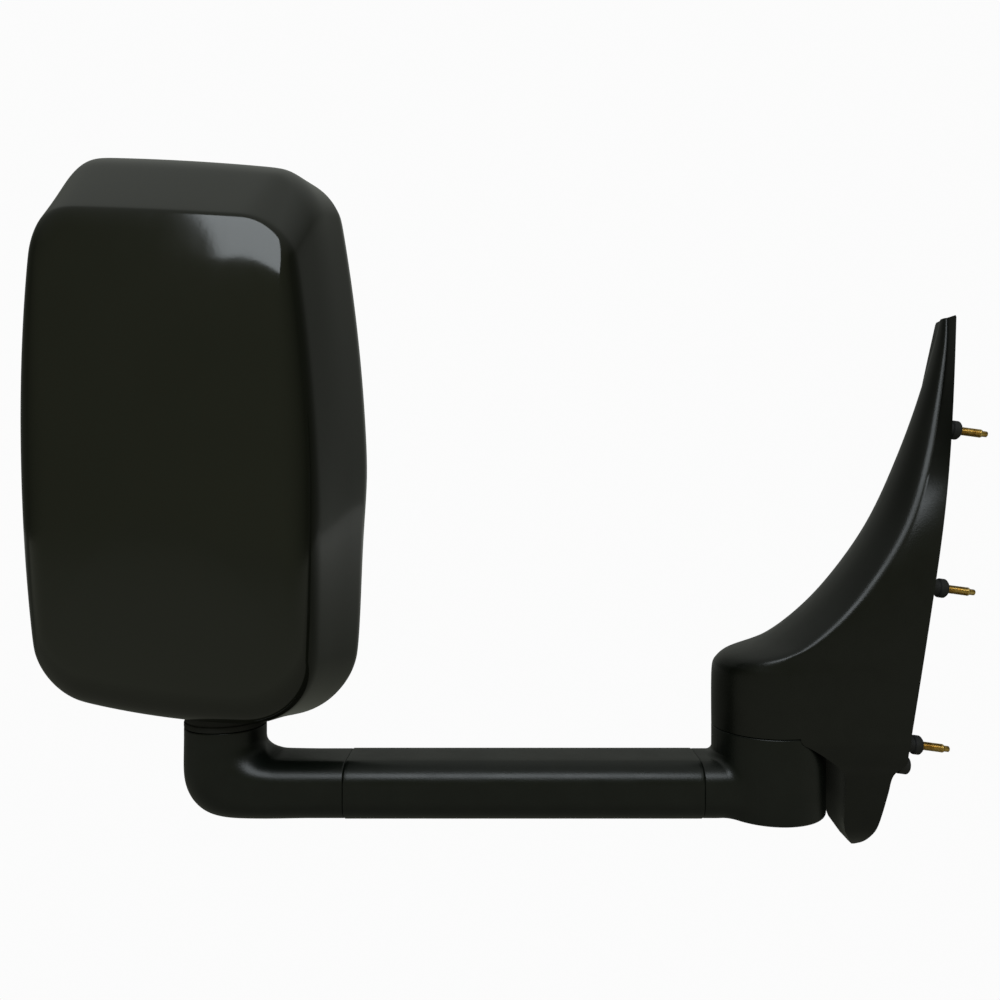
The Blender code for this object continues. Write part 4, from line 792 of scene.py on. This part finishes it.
# %% Pocket, hollow and hole
def pocket_grid(extra=0.0):
    """The pocket's turned form: flush with the boss at the seam, then wider on a smooth step below it."""
    top = BOSS_TOP + 0.5 + extra
    t = np.linspace(0.02, 1, 36)
    wall = np.stack([BOSS + extra + 0.25 + 13.0 * eased((t * 31 - 1) / 30), BOSS_TOP + 0.5 - 31.0 * t], 1)
    widest = BOSS + extra + 13.2
    low = [(widest - 0.6, -142), (widest - 2.0, -160), (widest - 1.0, -168), (widest + 3, -177),
           (widest + 9, -185), (0, -185)]
    profile = np.vstack([[(0, top), (BOSS + 0.25 + extra, top)], wall, low])
    return turned_grid(profile * MM, upright(PIVOT_X), 160)


hollow = surface("hollow", sail_rings(SAIL_WALL, -162, 133, 12.0, 3) * MM, ends="closed")
hollow = carve(hollow, ("DIFFERENCE", surface("pocket_wall", pocket_grid(SAIL_WALL))))
sail = surface("sail_moulding", sail_grid * MM, ends="closed")
pad_hole = cylinder("pad_hole", PIVOT_X, 29.6, -89, -108)
cutters = (surface("pocket_cut", pocket_grid()), hollow, pad_hole)
sail = carve(sail, *(("DIFFERENCE", cutter) for cutter in cutters), sharp=34)
placed(sail, "base", "sail_plastic", "base_cover")

# %% [markdown]
# ## Studs, spacers and the peg
# Three studs stand square out of the door face, each with a rolled thread, a plain point and a
# stepped spacer on its root. A thread is a radius that depends on height and angle together:
# the same small groove comes round once a pitch.

# %% Threaded studs
PITCH, STUD_RADIUS = 1.0, 3.0
STUD_PLACES = ((-8.0, 109.0), (-18.0, 0.0), (-12.0, -109.0))
STUD_ROOT = np.array([(0, -5.5), (2.6, -5.5), (2.88, -5.2)]) * MM
STUD_POINT = np.array([(2.88, 29.9), (2.5, 30.6), (2.0, 31.0), (2.0, 34.1), (1.6, 34.5), (0, 34.5)]) * MM


def thread_grid(axes, start, end, columns=28, per_pitch=8):
    """Radius = R - depth * |triangle wave of (height / pitch - angle / turn)|, softened at the root."""
    origin, across, other, up = (np.array(part, float) for part in axes)
    height = np.linspace(start, end, int((end - start) / PITCH * per_pitch) + 1)[:, None]
    angle = (np.arange(columns) * math.tau / columns)[None]
    wave = np.abs(((height / PITCH - angle / math.tau) % 1.0) * 2 - 1)
    fade = eased((end - height) / 1.2) * eased((height - start) / 1.0)
    radius = STUD_RADIUS - 0.12 - 0.5 * eased(wave) * fade
    ring = np.cos(angle)[..., None] * across + np.sin(angle)[..., None] * other
    return origin + (radius[..., None] * ring + height[..., None] * up) * MM


for number, (y, up_face) in enumerate(STUD_PLACES, 1):
    axes = out_of_door(y * MM, up_face * MM)
    root, point = (turned_grid(profile, axes, 28) for profile in (STUD_ROOT, STUD_POINT))
    rows = [root, thread_grid(axes, -5.0, 29.6), point]
    stud = surface(f"threaded_stud_{number}", np.concatenate(rows), sharp=50)
    placed(stud, "base", "yellow_zinc", f"door_stud_{number}")

# %% Spacers and the locating peg
SPACER_OUTLINE = [(3.3, 15), (5.0, 15), (6.5, 13.5), (6.5, 9.5), (5.3, 8.5), (5.3, 2.2), (6.5, 1.2),
                  (6.5, -2), (3.3, -2), (3.3, 15)]
for number, (y, up_face) in enumerate(STUD_PLACES, 1):
    axes = out_of_door(y * MM, up_face * MM)
    spacer_grid = turned_grid(soft_profile(SPACER_OUTLINE, 0.5) * MM, axes, 64)
    spacer = surface(f"spacer_on_stud_{number}", spacer_grid)
    placed(spacer, "base", "black_rubber", f"stud_spacer_{number}")
peg_axes = out_of_door(STUD_PLACES[2][0] * MM, -123.6 * MM)
peg_outline = [(0, 8), (5.1, 8), (6.3, 6.8), (6.3, 0.6), (4.3, 0.3), (4.3, -9), (0, -9)]
peg = surface("locating_plug", turned_grid(soft_profile(peg_outline, 0.5) * MM, peg_axes, 64))
placed(peg, "base", "black_plastic", "locating_peg")

# %% [markdown]
# ## Finishes
# Each finish is a Principled shader with its constant values set on its sockets. Noise and cells on
# object coordinates, which are metres here, drive the small things: grain, orange peel, wear.


# %% A finish builder
def finish(name, colour, roughness, metallic=0.0, ior=1.5):
    """A material with one Principled shader, its node tree, and coordinates in metres."""
    made = bpy.data.materials.new(name)
    made.use_nodes = True
    tree = made.node_tree
    shader = tree.nodes["Principled BSDF"]
    shader.inputs["Base Color"].default_value = (*colour, 1)
    shader.inputs["Roughness"].default_value = roughness
    shader.inputs["Metallic"].default_value = metallic
    shader.inputs["IOR"].default_value = ior
    where = tree.nodes.new("ShaderNodeTexCoord")
    return made, tree, shader, where.outputs["Object"]


def noise(tree, where, scale, detail=2.0, rough=0.5, stretch=None):
    """Noise with features about 1/scale metres across, stretched along an axis if asked."""
    if stretch:
        mapping = tree.nodes.new("ShaderNodeMapping")
        mapping.inputs["Scale"].default_value = stretch
        tree.links.new(where, mapping.inputs["Vector"])
        where = mapping.outputs["Vector"]
    node = tree.nodes.new("ShaderNodeTexNoise")
    node.inputs["Scale"].default_value = scale
    node.inputs["Detail"].default_value = detail
    node.inputs["Roughness"].default_value = rough
    tree.links.new(where, node.inputs["Vector"])
    return node.outputs["Fac"]


def cells(tree, where, scale):
    """Distance to the nearest cell centre: small domes, as in moulded grain."""
    node = tree.nodes.new("ShaderNodeTexVoronoi")
    node.inputs["Scale"].default_value = scale
    tree.links.new(where, node.inputs["Vector"])
    return node.outputs["Distance"]


def ramp(tree, value, stops):
    """Colours or greys along a value from 0 to 1."""
    node = tree.nodes.new("ShaderNodeValToRGB")
    while len(node.color_ramp.elements) < len(stops):
        node.color_ramp.elements.new(0.5)
    for element, (at, colour) in zip(node.color_ramp.elements, stops):
        element.position = at
        element.color = (*colour, 1) if np.ndim(colour) else (colour, colour, colour, 1)
    tree.links.new(value, node.inputs["Fac"])
    return node.outputs["Color"]


def bump(tree, shader, height, distance, strength=1.0, under=None):
    """Raises the surface by a height pattern; a second bump can lie under the first."""
    node = tree.nodes.new("ShaderNodeBump")
    node.inputs["Strength"].default_value = strength
    node.inputs["Distance"].default_value = distance
    tree.links.new(height, node.inputs["Height"])
    if under:
        tree.links.new(under, node.inputs["Normal"])
    tree.links.new(node.outputs["Normal"], shader.inputs["Normal"])
    return node.outputs["Normal"]


# %% Gloss black paint
gloss, tree, shader, where = finish("gloss_black_paint", (0.0085, 0.0092, 0.0062), 0.09)
peel = noise(tree, where, 260, 1.0)
bump(tree, shader, peel, 0.00002, 0.35)
smears = noise(tree, where, 22, 5.0, 0.62, (1, 1, 0.35))
tree.links.new(ramp(tree, smears, [(0.35, 0.07), (0.62, 0.11), (0.8, 0.17)]), shader.inputs["Roughness"])
tint = noise(tree, where, 9, 3.0)
stops = [(0.3, (0.0080, 0.0088, 0.0060)), (0.7, (0.0098, 0.0104, 0.0072))]
tree.links.new(ramp(tree, tint, stops), shader.inputs["Base Color"])
print("made", gloss.name)


# %% Textured coat and moulded grain
def grained(name, dark, light, rough_low, rough_high, grain, depth, ior=1.5):
    """A satin black with fine domes, a broad uneven sheen and slightly lighter worn patches."""
    made, tree, shader, where = finish(name, dark, rough_low, 0.0, ior)
    small = bump(tree, shader, cells(tree, where, grain), depth, 0.5)
    bump(tree, shader, noise(tree, where, grain * 0.45, 3.0), depth * 1.6, 0.35, small)
    broad = noise(tree, where, 34, 6.0, 0.6)
    low, high = (0.3, rough_low), (0.75, rough_high)
    tree.links.new(ramp(tree, broad, [low, high]), shader.inputs["Roughness"])
    patches = noise(tree, where, 60, 8.0, 0.7)
    tree.links.new(ramp(tree, patches, [(0.35, dark), (0.8, light)]), shader.inputs["Base Color"])
    return made


SATIN_IOR = 1.42
BLACKS = {
    "arm_textured_coat": (
        (0.0028, 0.0040, 0.0028), (0.0052, 0.0068, 0.0052), 0.27, 0.36, 1500, 0.00005, SATIN_IOR),
    "sail_moulded_grain": (
        (0.0030, 0.0036, 0.0024), (0.0054, 0.0062, 0.0046), 0.27, 0.36, 1300, 0.00006, SATIN_IOR),
    "matt_black_plastic": ((0.0075, 0.0078, 0.0074), (0.0135, 0.0138, 0.0130), 0.52, 0.62, 1700, 0.00005),
    "black_rubber": ((0.0070, 0.0070, 0.0068), (0.0150, 0.0150, 0.0145), 0.68, 0.80, 900, 0.00004),
}
coat, sail_black, matt_black, rubber = (grained(name, *values) for name, values in BLACKS.items())
print("made four blacks")

# %% Metals
zinc, tree, shader, where = finish("yellow_zinc_plate", (0.60, 0.40, 0.12), 0.27, 1.0)
sheen = noise(tree, where, 190, 4.0, 0.6)
stops = [(0.30, (0.42, 0.25, 0.06)), (0.48, (0.66, 0.43, 0.12)), (0.62, (0.74, 0.55, 0.20)),
         (0.78, (0.60, 0.36, 0.22))]
tree.links.new(ramp(tree, sheen, stops), shader.inputs["Base Color"])
wear = noise(tree, where, 420, 3.0)
tree.links.new(ramp(tree, wear, [(0.3, 0.2), (0.8, 0.42)]), shader.inputs["Roughness"])


def metal(name, dark, light, rough_low, rough_high, stretch, scale, depth):
    """Bare or plated metal: streaks from its making, in colour, roughness and a faint relief."""
    made, tree, shader, where = finish(name, light, rough_low, 1.0)
    streak = noise(tree, where, scale, 5.0, 0.6, stretch)
    tree.links.new(ramp(tree, streak, [(0.3, dark), (0.7, light)]), shader.inputs["Base Color"])
    tree.links.new(ramp(tree, streak, [(0.3, rough_high), (0.7, rough_low)]), shader.inputs["Roughness"])
    bump(tree, shader, streak, depth, 0.4)
    return made


steel = metal("clear_zinc_plate", (0.30, 0.31, 0.33), (0.52, 0.53, 0.55), 0.26, 0.42, (1, 1, 6), 160, 0.00002)
cast = metal("cast_aluminium", (0.20, 0.20, 0.20), (0.38, 0.38, 0.39), 0.48, 0.68, (1, 1, 1), 700, 0.00012)
print("made", zinc.name, steel.name, cast.name)

# %% Nylon and silvered glass
nylon, tree, shader, where = finish("natural_nylon", (0.66, 0.63, 0.55), 0.45)
stops = [(0.3, (0.58, 0.55, 0.47)), (0.7, (0.70, 0.68, 0.60))]
tree.links.new(ramp(tree, noise(tree, where, 240, 3.0), stops), shader.inputs["Base Color"])
silver, tree, shader, where = finish("silvered_glass", (0.83, 0.86, 0.87), 0.03, 1.0)
film = noise(tree, where, 30, 6.0, 0.65)
tree.links.new(ramp(tree, film, [(0.45, 0.02), (0.75, 0.07)]), shader.inputs["Roughness"])
stops = [(0.3, (0.84, 0.87, 0.88)), (0.8, (0.79, 0.81, 0.82))]
tree.links.new(ramp(tree, film, stops), shader.inputs["Base Color"])
print("made", nylon.name, silver.name)

# %% [markdown]
# ## Every piece gets its finish
# A new piece takes the finish of its slot. A frame node that still shows keeps its shape, and only
# its material slot changes.

# %% Hand out the finishes
FINISHES = {
    "head_gloss": gloss, "arm_coat": coat, "sail_plastic": sail_black, "black_plastic": matt_black,
    "black_rubber": rubber, "yellow_zinc": zinc, "plain_steel": steel, "cast_bracket": cast,
    "nylon": nylon, "mirror_glass": silver,
}
node_slots = {row["node"]: row["material_slot"] for row in frame["record"]["subparts"]}
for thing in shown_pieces():
    slot = thing.get("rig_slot") or node_slots[thing["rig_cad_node"]]
    thing.data.materials.clear()
    thing.data.materials.append(FINISHES[slot])

# %% [markdown]
# ## Studio, light and camera
# A pale floor lies under the mirror. One long soft box stands in front and some forty degrees up,
# and draws the bright lines on the edges that face it. The rest of the room is dim, so that the gloss
# paint looks black. The camera sees the floor and the room pale, while the mirror is lit by darker
# ones: a mix on the Light Path node's camera ray does that. The floor's light follows the room's, so
# that no horizon shows in the paint.

# %% The floor
PALE = 0.97


def seen_or_felt(tree, shown, unseen):
    """Shows one shader to the camera and lets the object be lit and reflected by another, dimmer one."""
    path = tree.nodes.new("ShaderNodeLightPath")
    mix = tree.nodes.new("ShaderNodeMixShader")
    tree.links.new(path.outputs["Is Camera Ray"], mix.inputs["Fac"])
    tree.links.new(unseen, mix.inputs[1])
    tree.links.new(shown, mix.inputs[2])
    return mix.outputs["Shader"]


floor_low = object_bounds()[0].z - 0.10
corner = np.array([[(-6.0, -6.0, 0), (6.0, -6.0, 0)], [(-6.0, 6.0, 0), (6.0, 6.0, 0)]])
floor = surface("studio_floor", corner + (0, 0, floor_low), wrap_cols=False)
pale, tree, shader, where = finish("pale_floor", (0.42, 0.43, 0.40), 0.7)
glow, back_light = (tree.nodes.new("ShaderNodeEmission") for _ in range(2))
glow.inputs["Color"].default_value = (1.0, 1.0, 1.0, 1)
glow.inputs["Strength"].default_value = PALE
split = tree.nodes.new("ShaderNodeSeparateXYZ")
tree.links.new(where, split.inputs["Vector"])
along_floor = tree.nodes.new("ShaderNodeMapRange")
along_floor.inputs["From Min"].default_value = -4.0
along_floor.inputs["From Max"].default_value = 4.0
tree.links.new(split.outputs["Y"], along_floor.inputs["Value"])
FLOOR_LIGHT = [(0.0, (0.200, 0.210, 0.150)), (0.44, (0.30, 0.31, 0.25)), (0.49, (0.20, 0.205, 0.17)),
               (0.52, (0.10, 0.105, 0.085)), (0.60, (0.09, 0.095, 0.08)), (1.0, (0.27, 0.28, 0.26))]
tree.links.new(ramp(tree, along_floor.outputs["Result"], FLOOR_LIGHT), back_light.inputs["Color"])
tree.links.new(seen_or_felt(tree, glow.outputs["Emission"], back_light.outputs["Emission"]),
               tree.nodes["Material Output"].inputs["Surface"])
floor.data.materials.append(pale)
print("floor at z =", round(floor_low, 3))


# %% Lights
def soft_box(name, at, look_at, width, height, radiance, colour=(1, 1, 1)):
    """A rectangular area light. Its power is radiance * area * pi."""
    lamp = bpy.data.lights.new(name, "AREA")
    lamp.shape, lamp.size, lamp.size_y = "RECTANGLE", width, height
    lamp.energy = radiance * width * height * math.pi
    lamp.color = colour
    holder = bpy.data.objects.new(name, lamp)
    holder.location = at
    holder.rotation_euler = (Vector(look_at) - Vector(at)).to_track_quat("-Z", "Y").to_euler()
    bpy.context.scene.collection.objects.link(holder)
    return holder


soft_box("long_soft_box", (-0.32, -1.40, 1.14), (-0.30, -0.05, 0.0), 1.35, 0.72, 4.4, (0.88, 0.95, 1.0))

# %% The room
world = bpy.data.worlds.new("studio_room")
bpy.context.scene.world = world
world.use_nodes = True
tree = world.node_tree
direction = tree.nodes.new("ShaderNodeTexCoord").outputs["Generated"]
parts = tree.nodes.new("ShaderNodeSeparateXYZ")
tree.links.new(direction, parts.inputs["Vector"])


def half_way(value):
    """Moves a direction's part from -1..1 to 0..1."""
    node = tree.nodes.new("ShaderNodeMapRange")
    node.inputs["From Min"].default_value = -1.0
    tree.links.new(value, node.inputs["Value"])
    return node.outputs["Result"]


SKY = (0.42, 0.44, 0.41)
AHEAD = [(0.0, (0.220, 0.230, 0.155)), (0.20, (0.140, 0.147, 0.100)), (0.42, (0.045, 0.048, 0.034)),
         (0.62, (0.050, 0.053, 0.042)), (0.82, (0.10, 0.105, 0.092)), (1.0, (0.20, 0.21, 0.19))]
level = ramp(tree, half_way(parts.outputs["Y"]), AHEAD)
above = ramp(tree, half_way(parts.outputs["Z"]), [(0.0, 0.0), (0.72, 0.0), (0.95, 1.0)])
blend_sky = tree.nodes.new("ShaderNodeMix")
blend_sky.data_type = "RGBA"
factor, low_colour, high_colour = (blend_sky.inputs[k] for k in (0, 6, 7))
tree.links.new(above, factor)
tree.links.new(level, low_colour)
high_colour.default_value = (*SKY, 1)
room_light = tree.nodes["Background"]
tree.links.new(blend_sky.outputs[2], room_light.inputs["Color"])
seen = tree.nodes.new("ShaderNodeBackground")
seen.inputs["Color"].default_value = (PALE, PALE, PALE, 1)
tree.links.new(seen_or_felt(tree, seen.outputs["Background"], room_light.outputs["Background"]),
               tree.nodes["World Output"].inputs["Surface"])
bpy.context.scene.view_settings.view_transform = "Standard"
print("room:", world.name)

# %% The camera
camera = bpy.data.objects.new("studio_camera", bpy.data.cameras.new("studio_camera"))
bpy.context.scene.collection.objects.link(camera)
camera.location = (-0.2877, -0.595, 0.0583)
camera.rotation_euler = (math.radians(90), 0, 0)
camera.data.lens = 30.6
camera.data.sensor_width = 36.0
camera.data.clip_start = 0.01
bpy.context.scene.camera = camera
print("camera at", [round(v, 3) for v in camera.location])
